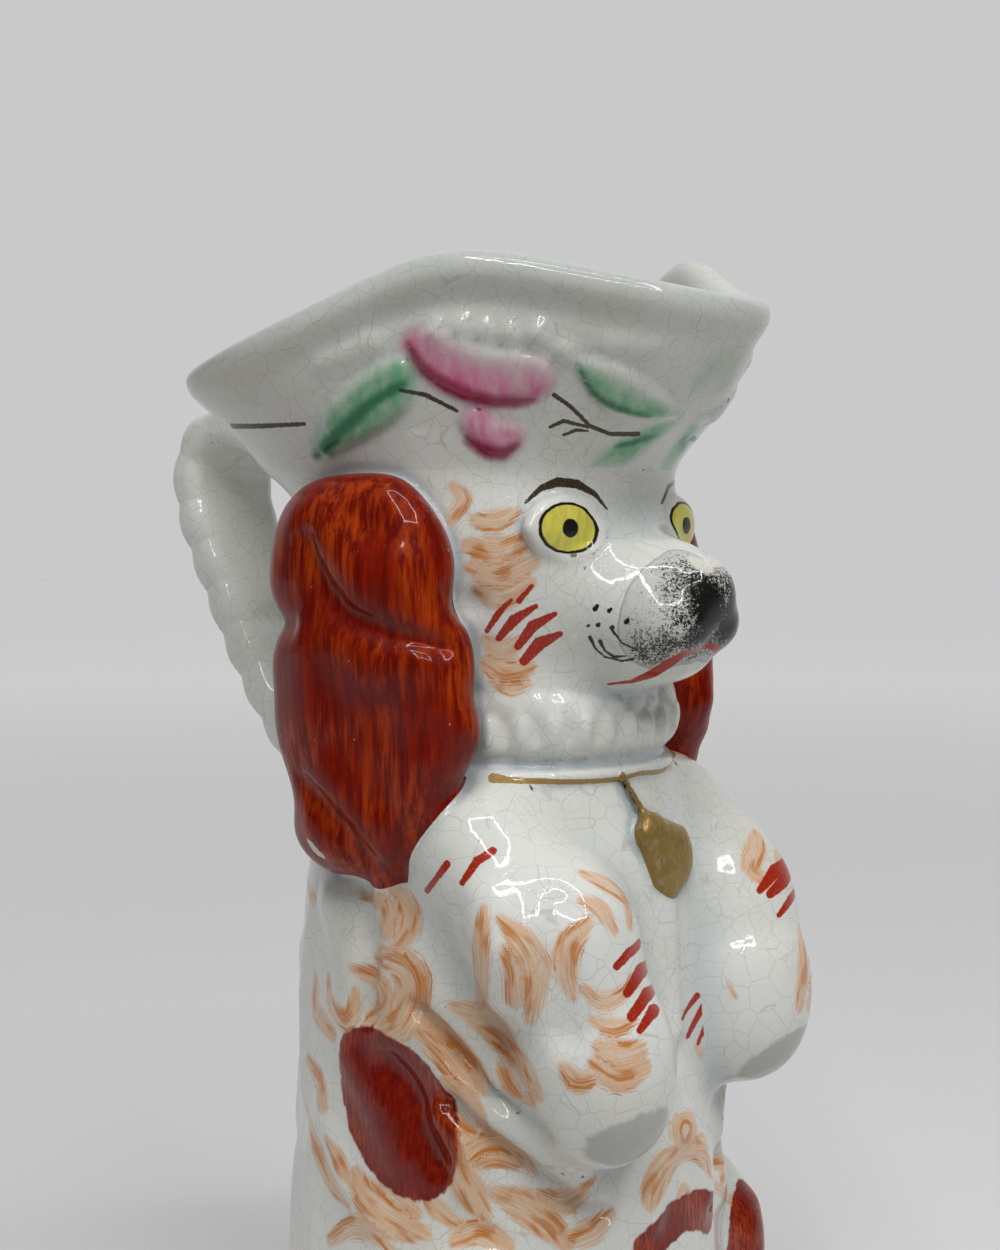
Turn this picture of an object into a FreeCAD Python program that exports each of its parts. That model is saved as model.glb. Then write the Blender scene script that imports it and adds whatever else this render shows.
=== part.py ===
"""Dog pitcher: a begging spaniel in glazed earthenware whose tricorn hat is the mouth of the jug.

The dog faces -Y and sits on Z = 0. Its own left is +X. The origin is the middle of the jug's foot.
Every clay member is its own solid, seated face to face on what it was luted to.
All lengths are millimetres and all angles are degrees.
"""

import FreeCAD, Part
import math
import os

import Sketcher
from FreeCAD import Placement, Rotation, Vector

SIZES = [
    # Body, level by level from the foot to the brow
    ("foot_level", 0.0),
    ("foot_half_width", 45.0),
    ("foot_half_depth", 46.0),
    ("hip_level", 34.0),
    ("hip_half_width", 45.5),
    ("hip_half_depth", 48.0),
    ("belly_level", 72.0),
    ("belly_half_width", 42.5),
    ("belly_half_depth", 47.0),
    ("waist_level", 104.0),
    ("waist_half_width", 41.5),
    ("waist_half_depth", 44.5),
    ("chest_level", 134.0),
    ("chest_half_width", 43.0),
    ("chest_half_depth", 43.5),
    ("shoulder_level", 150.0),
    ("shoulder_half_width", 39.5),
    ("shoulder_half_depth", 39.5),
    ("neck_level", 163.0),
    ("neck_half_width", 33.0),
    ("neck_half_depth", 33.0),
    ("throat_level", 175.0),
    ("throat_half_width", 32.5),
    ("throat_half_depth", 32.5),
    ("jaw_level", 188.0),
    ("jaw_half_width", 37.0),
    ("jaw_half_depth", 36.0),
    ("face_level", 210.0),
    ("face_half_width", 41.0),
    ("face_half_depth", 40.5),
    ("face_setback", 1.0),
    ("brow_level", 222.0),
    ("brow_radius", 40.0),
    ("brow_setback", 7.0),
    ("body_wall", 5.5),
    ("base_thickness", 7.0),
    # Tricorn hat: middle of a side and corner, from the brow up
    ("hat_setback", 4.0),
    ("flare_level", 231.0),
    ("flare_side", 42.0),
    ("flare_corner", 53.0),
    ("brim_level", 241.0),
    ("brim_side", 44.5),
    ("brim_corner", 62.0),
    ("lip_level", 252.0),
    ("lip_side", 47.0),
    ("lip_corner", 66.5),
    ("crest_level", 268.0),
    ("crest_side", 49.5),
    ("crest_corner", 70.0),
    ("hat_wall", 5.5),
    ("rim_wall", 7.5),
    ("rim_groove", 0.8),
    ("spout_level", 253.0),
    ("side_crest_level", 262.5),
    ("rear_corner_level", 241.5),
    ("rear_crest_level", 253.5),
    # Muzzle, from its root in the head to the tip
    ("muzzle_root", 16.0),
    ("muzzle_cheek", 32.0),
    ("muzzle_mid", 41.0),
    ("muzzle_front", 48.0),
    ("muzzle_tip", 54.0),
    ("cheek_half_width", 20.0),
    ("snout_half_width", 16.0),
    ("snout_front_half_width", 12.0),
    ("bridge_level", 206.5),
    ("lip_line_back", 178.0),
    ("lip_line_front", 186.5),
    ("muzzle_wall", 6.0),
    # Lower jaw, nose pad and eyes
    ("jaw_setback", 6.0),
    ("chin_half_width", 12.5),
    ("chin_half_length", 20.0),
    ("chin_half_height", 8.0),
    ("chin_level", 182.5),
    ("nose_half_width", 8.0),
    ("nose_half_length", 7.0),
    ("nose_half_height", 7.5),
    ("nose_level", 200.0),
    ("nose_stand", 1.5),
    ("eye_level", 210.5),
    ("eye_stand", 3.4),
    ("eye_half_width", 7.6),
    ("eye_half_height", 5.2),
    ("eye_half_thickness", 4.4),
    # Ears: level, then half breadth from front edge to back edge
    ("ear_top_level", 221.8),
    ("ear_crown_level", 210.0),
    ("ear_crown_half_breadth", 19.0),
    ("ear_fold_level", 193.0),
    ("ear_fold_half_breadth", 22.0),
    ("ear_full_level", 168.0),
    ("ear_full_half_breadth", 24.5),
    ("ear_low_level", 153.0),
    ("ear_low_half_breadth", 20.5),
    ("ear_tip_level", 141.0),
    ("ear_stand", 9.6),
    ("ear_lean", 6.0),
    ("ear_half_thickness", 9.6),
    # Neck ruff, collar strap, link and locket
    ("ruff_level", 170.5),
    ("ruff_half_height", 5.5),
    ("ruff_radius", 36.6),
    ("strap_level", 161.5),
    ("strap_half_height", 1.9),
    ("strap_radius", 36.6),
    ("link_level", 151.0),
    ("link_radius", 1.6),
    ("link_sink", 0.4),
    ("locket_level", 146.0),
    ("locket_half_width", 8.7),
    ("locket_half_height", 7.7),
    ("locket_stand", 3.2),
    ("locket_thickness", 9.0),
    ("locket_round", 1.4),
    # Forelegs: how far out, and how far forward of the chest, from the shoulder down
    ("foreleg_root_level", 155.0),
    ("foreleg_root_side", 26.0),
    ("foreleg_root_stand", -23.5),
    ("foreleg_shoulder_level", 145.0),
    ("foreleg_shoulder_side", 28.0),
    ("foreleg_shoulder_stand", -10.5),
    ("foreleg_elbow_level", 129.0),
    ("foreleg_elbow_side", 26.5),
    ("foreleg_elbow_stand", -3.0),
    ("foreleg_wrist_level", 114.0),
    ("foreleg_wrist_side", 25.0),
    ("foreleg_wrist_stand", -0.5),
    ("foreleg_paw_side", 24.5),
    ("foreleg_paw_stand", 1.0),
    ("foreleg_paw_rise", 10.0),
    ("foreleg_half_width", 14.6),
    ("foreleg_half_depth", 13.5),
    ("foreleg_wrist_half_width", 13.4),
    ("right_paw_level", 91.5),
    ("left_paw_level", 96.5),
    # Haunches and hind feet
    ("haunch_side", 34.0),
    ("haunch_reach", 13.0),
    ("haunch_half_width", 17.0),
    ("haunch_half_depth", 32.0),
    ("thigh_level", 24.0),
    ("knee_level", 56.0),
    ("knee_reach", 17.0),
    ("knee_half_width", 15.5),
    ("knee_half_depth", 27.0),
    ("haunch_top_level", 77.0),
    ("hind_foot_side", 27.5),
    ("hind_foot_reach", 47.0),
    ("hind_foot_half_width", 13.5),
    ("hind_foot_half_length", 20.0),
    ("hind_foot_level", 9.0),
    ("hind_foot_top_level", 20.0),
    # Handle: centre line from the hat's rear wall round to the dog's back
    ("handle_root_depth", 38.0),
    ("handle_root_level", 227.0),
    ("handle_rise_depth", 62.0),
    ("handle_rise_level", 236.0),
    ("handle_crest_depth", 85.0),
    ("handle_crest_level", 238.0),
    ("handle_bend_depth", 93.0),
    ("handle_bend_level", 222.0),
    ("handle_grip_depth", 81.0),
    ("handle_grip_level", 198.0),
    ("handle_taper_depth", 69.5),
    ("handle_taper_level", 174.0),
    ("handle_foot_depth", 52.0),
    ("handle_foot_level", 152.0),
    ("handle_end_depth", 32.0),
    ("handle_end_level", 143.0),
    ("handle_half_width", 13.0),
    ("handle_foot_half_width", 9.5),
    ("handle_half_thickness", 4.8),
    # Relief sprigs on the brim
    ("sprig_stand", 1.4),
    ("bloom_level", 240.0),
    ("bloom_half_length", 13.5),
    ("bloom_half_height", 7.5),
    ("petal_level", 228.5),
    ("petal_half_length", 6.5),
    ("petal_half_height", 3.8),
    ("rear_leaf_level", 235.0),
    ("rear_leaf_half_length", 11.5),
    ("rear_leaf_half_height", 5.5),
    ("front_leaf_level", 237.0),
    ("front_leaf_half_length", 12.0),
    ("front_leaf_half_height", 5.5),
    # Construction solids, larger than anything they cut
    ("overrun", 6.0),
    ("cutter", 400.0),
]

# Angles, in degrees
EAR_TURN = 12.0
EYE_TURN = 29.5
FRONT_CORNER = -90.0
BLOOM_HEADING = 214.0
PETAL_HEADING = 218.0
REAR_LEAF_HEADING = 182.0
FRONT_LEAF_HEADING = 250.0
REAR_LEAF_SLANT = 30.0
FRONT_LEAF_SLANT = -20.0

# Shape shares and counts, with no length in them
RING_POINTS = 16
HAT_POINTS = 36
CORNER_SHARPNESS = 1.35
REAR_CORNER_AHEAD = 0.25
SIDE_AHEAD = 0.75
EAR_FULLNESS = 2.1
SNOUT_FULLNESS = 2.3
HANDLE_FULLNESS = 3.0
CENTRE_SHARE = 0.05
WALL_SHARES = [0, 0.25, 0.5, 0.72, 0.88, 1.0]
END_SHARES = [(0.55, 1.0), (1.0, 0.6), (1.0, 0.08)]

doc = FreeCAD.newDocument("dog_pitcher")
sheet = doc.addObject("Spreadsheet::Sheet", "Sizes")
for row, (alias, value) in enumerate(SIZES, start=1):
    sheet.set(f"A{row}", alias)
    sheet.set(f"B{row}", str(value))
    sheet.setAlias(f"B{row}", alias)
doc.recompute()

NAMES = dict(SIZES)
UP = Vector(0, 0, 1)
LEFT = Vector(1, 0, 0)
BACK = Vector(0, 1, 0)
AHEAD = Vector(0, -1, 0)


def size(alias):
    """The value of one cell of the sheet."""
    return float(sheet.get(alias))


def bind(obj, **cells):
    """Binds properties of obj to formulas over the sheet. A double underscore stands for a dot."""
    for name, formula in cells.items():
        words = [f"Sizes.{word}" if word in NAMES else word for word in formula.split()]
        obj.setExpression(name.replace("__", "."), " ".join(words))
    return obj


def form(label, shape):
    """A free-form solid, as one object of the document."""
    obj = doc.addObject("Part::Feature", label)
    obj.Shape = shape
    return obj


def cut(label, base, *tools):
    """The base with the tools taken away, so that it seats face to face on them."""
    obj = doc.addObject("Part::Cut", label)
    obj.Base, obj.Tool = base, tools[0]
    if len(tools) > 1:
        obj.Tool = doc.addObject("Part::MultiFuse", f"{label}_seats")
        obj.Tool.Shapes = list(tools)
    return obj


def common(label, base, tool):
    """What the base and the tool share."""
    obj = doc.addObject("Part::Common", label)
    obj.Base, obj.Tool = base, tool
    return obj


def mirrored(label, source):
    """The same piece on the dog's left."""
    obj = doc.addObject("Part::Mirroring", label)
    obj.Source = source
    obj.Normal = LEFT
    return obj


# Smooth forms drawn over nets of rings


def closed_net(points):
    """Control points of a smooth closed curve that runs through the points of a round outline."""
    middle = sum(points, Vector()) * (1 / len(points))
    pull = (2 + math.cos(2 * math.pi / len(points))) / 3
    return [middle + (point - middle) * (1 / pull) for point in points]


def ring(centre, across, along, half_across, half_along, fullness=2.0):
    """A closed outline: an ellipse at fullness 2, squarer above that."""
    points = []
    for i in range(RING_POINTS):
        turn = 2 * math.pi * i / RING_POINTS
        c, s = math.cos(turn), math.sin(turn)
        a = math.copysign(abs(c) ** (2 / fullness), c) * half_across
        b = math.copysign(abs(s) ** (2 / fullness), s) * half_along
        points.append(centre + across * a + along * b)
    return closed_net(points)


def moved(outline, step):
    return [point + step for point in outline]


def skin(rings, hollow=False):
    """A smooth solid over a net of rings.

    It is flat across the first ring and the last, or flat between the two where the form is hollow.
    """
    around, levels = len(rings[0]), len(rings)
    surface = Part.BSplineSurface()
    surface.buildFromPolesMultsKnots(
        [[rings[j][i] for j in range(levels)] for i in range(around)],
        [1] * (around + 1),
        [4] + [1] * (levels - 4) + [4],
        list(range(around + 1)),
        list(range(levels - 2)),
        True,
        False,
        3,
        3,
    )
    side = surface.toShape()
    wires = [Part.Wire([edge]) for edge in side.Edges if edge.isClosed()]
    wires.sort(key=lambda wire: -wire.Length)
    flats = [Part.Face(wires)] if hollow else [Part.Face(wire) for wire in wires]
    solid = Part.Solid(Part.Shell([side] + flats))
    solid.fix(0, 0, 0)
    return solid


def limb(stations, start_cap, end_cap, fullness=2.0):
    """A limb over stations (centre, across, along, half_across, half_along).

    A cap is how far the rounded end reaches past its station, or 0 for a flat end.
    """
    rings = [ring(*station, fullness) for station in stations]
    for cap, station, side in ((start_cap, stations[0], -1), (end_cap, stations[-1], 1)):
        centre, across, along, half_across, half_along = station
        outward = across.cross(along) * side
        for reach_share, width_share in END_SHARES if cap else []:
            tip = centre + outward * (cap * reach_share)
            end = ring(tip, across, along, half_across * width_share, half_along * width_share, fullness)
            rings.insert(0 if side < 0 else len(rings), end)
    return skin(rings)


# Body envelope and cavity

LEVELS = ["foot", "hip", "belly", "waist", "chest", "shoulder", "neck", "throat", "jaw", "face"]


def body_rings(wall):
    """Rings of the body's outer face, or of its cavity when given a wall."""
    rings = []
    for name in LEVELS:
        setback = size("face_setback") if name == "face" else 0
        centre = Vector(0, setback, size(f"{name}_level"))
        half_width, half_depth = size(f"{name}_half_width"), size(f"{name}_half_depth")
        rings.append(ring(centre, LEFT, BACK, half_width - wall, half_depth - wall))
    brow, radius = Vector(0, size("brow_setback"), size("brow_level")), size("brow_radius") - wall
    rings.append(ring(brow, LEFT, BACK, radius, radius))
    return rings


cavity_rings = body_rings(size("body_wall"))
cavity_rings.append(moved(cavity_rings[-1], UP * size("overrun")))
cavity_rings[0] = moved(cavity_rings[0], UP * size("base_thickness"))
envelope = form("body_envelope", skin(body_rings(0)))
cavity = form("body_cavity", skin(cavity_rings))


def on_body(level, outward, stand):
    """The place that stands off the body's outer face at a level, in a level direction."""
    axis = Vector(0, 0, level)
    inside = envelope.Shape.common(Part.makeLine(axis, axis + outward * size("cutter")))
    return axis + outward * (inside.Length + stand)



def zone(label, **cells):
    """A box as large as the cutter, centred front to back."""
    box = doc.addObject("Part::Box", label)
    bind(box, Length="cutter", Width="cutter", Height="cutter", Placement__Base__y="0 - cutter / 2")
    return bind(box, **cells)


base_zone = zone("base_zone", Height="base_thickness", Placement__Base__x="0 - cutter / 2")
left_zone = zone("left_zone")

# Muzzle, hollow behind and open to the head


def snout_ring(reach, half_width, low, high):
    centre = Vector(0, -reach, (low + high) / 2)
    return ring(centre, LEFT, UP, half_width, (high - low) / 2, SNOUT_FULLNESS)


def muzzle_skin(wall):
    """The muzzle's outer form, or its hollow when given a wall."""
    high, front = size("bridge_level") - wall, size("lip_line_front") + wall
    back = size("lip_line_back") + wall
    cheek, snout = size("cheek_half_width") - wall, size("snout_half_width") - wall
    narrow = size("snout_front_half_width") - wall
    fore, tip = size("muzzle_front") - wall, size("muzzle_tip") - wall
    rings = [
        snout_ring(size("muzzle_root"), cheek, back, high),
        snout_ring(size("muzzle_cheek"), cheek, back, high),
        snout_ring(size("muzzle_mid"), snout, (back + front) / 2, high),
        snout_ring(fore, narrow, front, high),
    ]
    for reach_share, width_share in END_SHARES:
        middle, half_height = (high + front) / 2, (high - front) / 2 * width_share
        reach = fore + (tip - fore) * reach_share
        rings.append(snout_ring(reach, narrow * width_share, middle - half_height, middle + half_height))
    return skin(rings)


muzzle_form = form("muzzle_form", muzzle_skin(0))
muzzle_hollow = form("muzzle_hollow", muzzle_skin(size("muzzle_wall")))


def ellipsoid(label, across, along, upward, **place):
    """An ellipsoid bound to the sheet: half sizes along X, Y and Z, then its centre."""
    obj = doc.addObject("Part::Ellipsoid", label)
    obj.Angle1, obj.Angle2, obj.Angle3 = -90, 90, 360
    bind(obj, Radius2=across, Radius3=along, Radius1=upward)
    return bind(obj, **{f"Placement__Base__{axis}": cell for axis, cell in place.items()})


jaw_form = ellipsoid(
    "jaw_form",
    "chin_half_width",
    "chin_half_length",
    "chin_half_height",
    y="chin_half_length + jaw_setback - muzzle_tip",
    z="chin_level",
)
nose_form = ellipsoid(
    "nose_form",
    "nose_half_width",
    "nose_half_length",
    "nose_half_height",
    y="nose_half_length - muzzle_tip - nose_stand",
    z="nose_level",
)
eye_form = doc.addObject("Part::Ellipsoid", "eye_form")
eye_form.Angle1, eye_form.Angle2, eye_form.Angle3 = -90, 90, 360
bind(eye_form, Radius2="eye_half_width", Radius3="eye_half_thickness", Radius1="eye_half_height")
aside = Rotation(UP, -EYE_TURN)
eye_middle = on_body(size("eye_level"), aside.multVec(AHEAD), size("eye_stand") - size("eye_half_thickness"))
eye_form.Placement = Placement(eye_middle, aside)

# Tricorn hat


HAT_LEVELS = [
    (size("brow_level"), size("brow_radius"), size("brow_radius"), size("brow_setback")),
    (size("flare_level"), size("flare_side"), size("flare_corner"), size("hat_setback")),
    (size("brim_level"), size("brim_side"), size("brim_corner"), size("hat_setback")),
    (size("lip_level"), size("lip_side"), size("lip_corner"), size("hat_setback")),
    (size("crest_level"), size("crest_side"), size("crest_corner"), size("hat_setback")),
]


def brim_point(heading, level, inset):
    """A point of the hat's wall: its plan is a rounded triangle with one corner over the nose."""
    below, above = HAT_LEVELS[0], HAT_LEVELS[1]
    for low, high in zip(HAT_LEVELS, HAT_LEVELS[1:]):
        if low[0] <= level:
            below, above = low, high
    share = (level - below[0]) / (above[0] - below[0])
    side, corner, setback = [low + (high - low) * share for low, high in zip(below[1:], above[1:])]
    swell = (1 + math.cos(math.radians(3 * (heading - FRONT_CORNER)))) / 2
    radius = side + (corner - side) * swell**CORNER_SHARPNESS - inset
    turn = math.radians(heading)
    return Vector(radius * math.cos(turn), setback + radius * math.sin(turn), level)


def rim_level(heading):
    """The height of the rim: it rises between the corners and falls from the front to the back."""
    ahead = (1 + math.cos(math.radians(heading - FRONT_CORNER))) / 2
    spout, rear_corner = size("spout_level"), size("rear_corner_level")
    side, rear = size("side_crest_level"), size("rear_crest_level")
    corner = rear_corner + (spout - rear_corner) * (ahead - REAR_CORNER_AHEAD) / (1 - REAR_CORNER_AHEAD)
    crest = rear + (side - rear) * ahead / SIDE_AHEAD
    swell = (1 + math.cos(math.radians(3 * (heading - FRONT_CORNER)))) / 2
    return crest + (corner - crest) * swell


def brim_ring(share, inset):
    """A ring of the hat at a share of the way from the brow up to the rim."""
    points = []
    for i in range(HAT_POINTS):
        heading = 360 * i / HAT_POINTS
        level = size("brow_level") + (rim_level(heading) - size("brow_level")) * share
        points.append(brim_point(heading, level, inset))
    return closed_net(points)


def outer_rings(stand):
    """Rings up the outside of the hat, with a groove under the rolled rim."""
    groove = WALL_SHARES[-3]
    return [
        brim_ring(share, (size("rim_groove") if share == groove else 0) - stand) for share in WALL_SHARES
    ]


def inner_rings():
    """Rings down the inside of the hat."""
    thin, thick = size("hat_wall"), size("rim_wall")
    return [brim_ring(share, thin + (thick - thin) * share) for share in reversed(WALL_SHARES)]


def filled(rings):
    """The hat's outside closed over the mouth."""
    crown = Vector(0, size("hat_setback"), size("crest_level"))
    spread = [crown + (point - crown) * CENTRE_SHARE for point in rings[-1]]
    return skin(rings + [[Vector(point.x, point.y, crown.z) for point in spread]])


hat = form("hat", skin(outer_rings(0) + inner_rings(), hollow=True))
hat_form = form("hat_form", filled(outer_rings(0)))
sprig_cover = form("sprig_cover", filled(outer_rings(size("sprig_stand"))))
sprig_shell = cut("sprig_shell", sprig_cover, hat_form, hat)

# Ears


def ear():
    """The dog's right ear, leaning towards the chin as it hangs."""
    turn = Rotation(UP, -EAR_TURN)
    across, along = turn.multVec(LEFT), turn.multVec(BACK)
    top, tip = size("ear_top_level"), size("ear_tip_level")
    side = size("face_half_width") + size("ear_stand") - size("ear_half_thickness")
    stations = []
    for name in ("low", "full", "fold", "crown"):
        level = size(f"ear_{name}_level")
        lean = size("ear_lean") * (top - level) / (top - tip)
        centre = Vector(-side, -lean, level)
        half_breadth = size(f"ear_{name}_half_breadth")
        stations.append((centre, across, along, size("ear_half_thickness"), half_breadth))
    return limb(stations, size("ear_low_level") - tip, top - size("ear_crown_level"), EAR_FULLNESS)


ear_form = form("ear_form", ear())

# Neck ruff, collar strap, link and locket


def band(label, name):
    """A round band about the neck."""
    obj = doc.addObject("Part::Torus", label)
    half_height = f"{name}_half_height"
    return bind(
        obj,
        Radius1=f"{name}_radius - {half_height}",
        Radius2=half_height,
        Placement__Base__z=f"{name}_level",
    )


ruff_form = band("ruff_form", "ruff")
strap_form = band("strap_form", "strap")
link_form = doc.addObject("Part::Cylinder", "link_form")
link_low = on_body(size("link_level"), AHEAD, -size("link_sink"))
link_high = on_body(size("strap_level"), AHEAD, -size("link_sink"))
link_form.Placement = Placement(link_low, Rotation(UP, link_high - link_low))
link_form.Height = (link_high - link_low).Length
bind(link_form, Radius="link_radius")
locket_body = doc.addObject("PartDesign::Body", "locket_body")
outline = locket_body.newObject("Sketcher::SketchObject", "locket_outline")
front_plane = next(plane for plane in locket_body.Origin.OriginFeatures if plane.Role == "XZ_Plane")
outline.AttachmentSupport = [(front_plane, "")]
outline.MapMode = "FlatFace"
middle = Vector(0, size("locket_level"), 0)
wide, tall = size("locket_half_width"), size("locket_half_height")
outline.addGeometry(Part.Ellipse(middle + LEFT * wide, middle + BACK * tall, middle))
outline.exposeInternalGeometry(0)
outline.addConstraint(
    [
        Sketcher.Constraint("PointOnObject", 0, 3, -2),
        Sketcher.Constraint("Horizontal", 1),
        Sketcher.Constraint("DistanceY", -1, 1, 0, 3, size("locket_level")),
        Sketcher.Constraint("DistanceX", 1, 2, 1, 1, 2 * wide),
        Sketcher.Constraint("DistanceY", 2, 2, 2, 1, 2 * tall),
    ]
)
first = outline.ConstraintCount - 3
outline.setExpression(f"Constraints[{first}]", "Sizes.locket_level")
outline.setExpression(f"Constraints[{first + 1}]", "2 * Sizes.locket_half_width")
outline.setExpression(f"Constraints[{first + 2}]", "2 * Sizes.locket_half_height")
chest = -on_body(size("locket_level"), AHEAD, size("locket_stand") - size("locket_thickness")).y
outline.AttachmentOffset = Placement(Vector(0, 0, chest), Rotation())
disc = locket_body.newObject("PartDesign::Pad", "locket_disc")
disc.Profile = outline
bind(disc, Length="locket_thickness")
doc.recompute()
front = min(range(len(disc.Shape.Edges)), key=lambda i: disc.Shape.Edges[i].BoundBox.YMax)
softened = locket_body.newObject("PartDesign::Fillet", "locket_softened")
softened.Base = (disc, [f"Edge{front + 1}"])
bind(softened, Radius="locket_round")

# Forelegs


def foreleg(side, paw_level):
    """One raised foreleg, from inside the shoulder down to the hanging paw."""
    names = ["root", "shoulder", "elbow", "wrist", "paw"]
    levels = [size(f"foreleg_{name}_level") for name in names[:-1]]
    levels.append(paw_level + size("foreleg_paw_rise"))
    widths = ["foreleg_wrist_half_width" if name in ("root", "wrist") else "foreleg_half_width" for name in names]
    centres = []
    for name, level in zip(names, levels):
        reach = size("chest_half_depth") + size(f"foreleg_{name}_stand")
        centres.append(Vector(side * size(f"foreleg_{name}_side"), -reach, level))
    stations = []
    for i, centre in enumerate(centres):
        heading = centres[min(i + 1, len(centres) - 1)] - centres[max(i - 1, 0)]
        along = Vector(0, heading.y, heading.z).normalize().cross(LEFT)
        stations.append((centre, LEFT, along, size(widths[i]), size("foreleg_half_depth")))
    return limb(stations, 0, size("foreleg_paw_rise"))


right_foreleg_form = form("right_foreleg_form", foreleg(-1, size("right_paw_level")))
left_foreleg_form = form("left_foreleg_form", foreleg(1, size("left_paw_level")))

# Haunches and hind feet, flat on the table


def haunch():
    """The dog's right thigh, a tall pad with the knee forward."""
    stations = []
    for level, name, reach in ((0, "haunch", "haunch"), ("thigh", "haunch", "haunch"), ("knee", "knee", "knee")):
        centre = Vector(-size("haunch_side"), -size(f"{reach}_reach"), size(f"{level}_level") if level else 0)
        stations.append((centre, LEFT, BACK, size(f"{name}_half_width"), size(f"{name}_half_depth")))
    return limb(stations, 0, size("haunch_top_level") - size("knee_level"))


def hind_foot():
    """The dog's right hind foot, lying forward from under the haunch."""
    stations = []
    for level in (0, size("hind_foot_level")):
        centre = Vector(-size("hind_foot_side"), -size("hind_foot_reach"), level)
        stations.append((centre, LEFT, BACK, size("hind_foot_half_width"), size("hind_foot_half_length")))
    return limb(stations, 0, size("hind_foot_top_level") - size("hind_foot_level"))


haunch_form = form("haunch_form", haunch())
foot_form = form("foot_form", hind_foot())

# Handle


def handle_strap():
    """A strap bowing out from the hat and in again to the dog's back, narrower at its foot."""
    names = ["root", "rise", "crest", "bend", "grip", "taper", "foot", "end"]
    path = [Vector(0, size(f"handle_{name}_depth"), size(f"handle_{name}_level")) for name in names]
    narrow = {"taper": "handle_foot_half_width", "foot": "handle_foot_half_width", "end": "handle_foot_half_width"}
    stations = []
    for i, (name, centre) in enumerate(zip(names, path)):
        heading = path[min(i + 1, len(path) - 1)] - path[max(i - 1, 0)]
        normal = heading.normalize().cross(LEFT)
        half_width = size(narrow.get(name, "handle_half_width"))
        stations.append((centre, LEFT, normal, half_width, size("handle_half_thickness")))
    return limb(stations, 0, 0, HANDLE_FULLNESS)


handle_form = form("handle_form", handle_strap())


# Relief sprigs: each outline is driven out through the brim and keeps what stands over it


def facing(heading):
    """The directions out of the hat, round it and up, at a heading."""
    turn = Rotation(UP, heading)
    return turn.multVec(LEFT), turn.multVec(BACK)


def oval(middle, across, along, half_length, half_height):
    return Part.Ellipse(middle + across * half_length, middle + along * half_height, middle).toShape()


def leaf(middle, across, along, half_length, half_height):
    """An outline of two arcs that meet in points."""
    tips = (middle - across * half_length, middle + across * half_length)
    arcs = [Part.Arc(tips[0], middle + along * rise, tips[1]) for rise in (half_height, -half_height)]
    return Part.Wire([arc.toShape() for arc in arcs])


def sprig(name, outline, heading, slant=0):
    """One sprig on the right side of the brim, at its own level and slant."""
    outward, around = facing(heading)
    tilt = Rotation(outward, slant)
    middle = Vector(0, size("hat_setback"), size(f"{name}_level"))
    edge = outline(
        middle,
        tilt.multVec(around),
        tilt.multVec(UP),
        size(f"{name}_half_length"),
        size(f"{name}_half_height"),
    )
    driver = form(f"{name}_driver", Part.Face(Part.Wire(edge)).extrude(outward * size("cutter")))
    return common(f"right_hat_{name}", sprig_shell, driver)


SPRIGS = {
    "bloom": sprig("bloom", oval, BLOOM_HEADING),
    "petal": sprig("petal", oval, PETAL_HEADING),
    "rear_leaf": sprig("rear_leaf", leaf, REAR_LEAF_HEADING, REAR_LEAF_SLANT),
    "front_leaf": sprig("front_leaf", leaf, FRONT_LEAF_HEADING, FRONT_LEAF_SLANT),
}

# The pieces

walls = cut("body_walls", envelope, cavity, base_zone, muzzle_hollow)
ruff = cut("neck_ruff", ruff_form, envelope)
strap = cut("collar_strap", strap_form, envelope, ruff_form)
locket = cut("locket", softened, envelope)
link = cut("locket_link", link_form, envelope, strap_form, softened)
right_ear = cut("right_ear", ear_form, envelope, ruff_form, strap_form)
left_ear = mirrored("left_ear", right_ear)
right_eye = cut("right_eye", eye_form, envelope, muzzle_form)
right_haunch = cut("right_haunch", haunch_form, envelope)
right_hind_foot = cut("right_hind_foot", foot_form, envelope, haunch_form)

PIECES = [
    common("base_slab", envelope, base_zone),
    cut("right_body_shell", walls, left_zone),
    common("left_body_shell", walls, left_zone),
    hat,
    cut("muzzle", muzzle_form, envelope, muzzle_hollow),
    cut("lower_jaw", jaw_form, envelope, muzzle_form, ruff_form),
    cut("nose_pad", nose_form, muzzle_form),
    right_eye,
    mirrored("left_eye", right_eye),
    right_ear,
    left_ear,
    ruff,
    strap,
    link,
    locket,
    cut("right_foreleg", right_foreleg_form, envelope, right_ear, strap_form, ruff_form),
    cut("left_foreleg", left_foreleg_form, envelope, left_ear, strap_form, ruff_form),
    right_haunch,
    mirrored("left_haunch", right_haunch),
    right_hind_foot,
    mirrored("left_hind_foot", right_hind_foot),
    cut("handle", handle_form, envelope, hat_form),
]
for name, right_sprig in SPRIGS.items():
    PIECES.append(right_sprig)
    PIECES.append(mirrored(f"left_hat_{name}", right_sprig))

doc.recompute()
for obj in doc.Objects:
    if "Invalid" in obj.State or "Error" in obj.State:
        raise RuntimeError(f"{obj.Label} did not compute")
for piece in PIECES:
    if piece.Shape.isNull() or not piece.Shape.isValid() or len(piece.Shape.Solids) != 1:
        raise RuntimeError(f"{piece.Label} is not one sound solid")

os.makedirs("parts", exist_ok=True)
for piece in PIECES:
    piece.Shape.exportStep(f"parts/{piece.Label}.step")
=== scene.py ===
"""The dog pitcher, dressed: modelled clay, painted enamel and a crazed glaze around the CAD frame.

Lengths are millimetres in the frame's axes until a mesh is made: the dog faces -Y and its left is +X.
"""
import math

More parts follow.
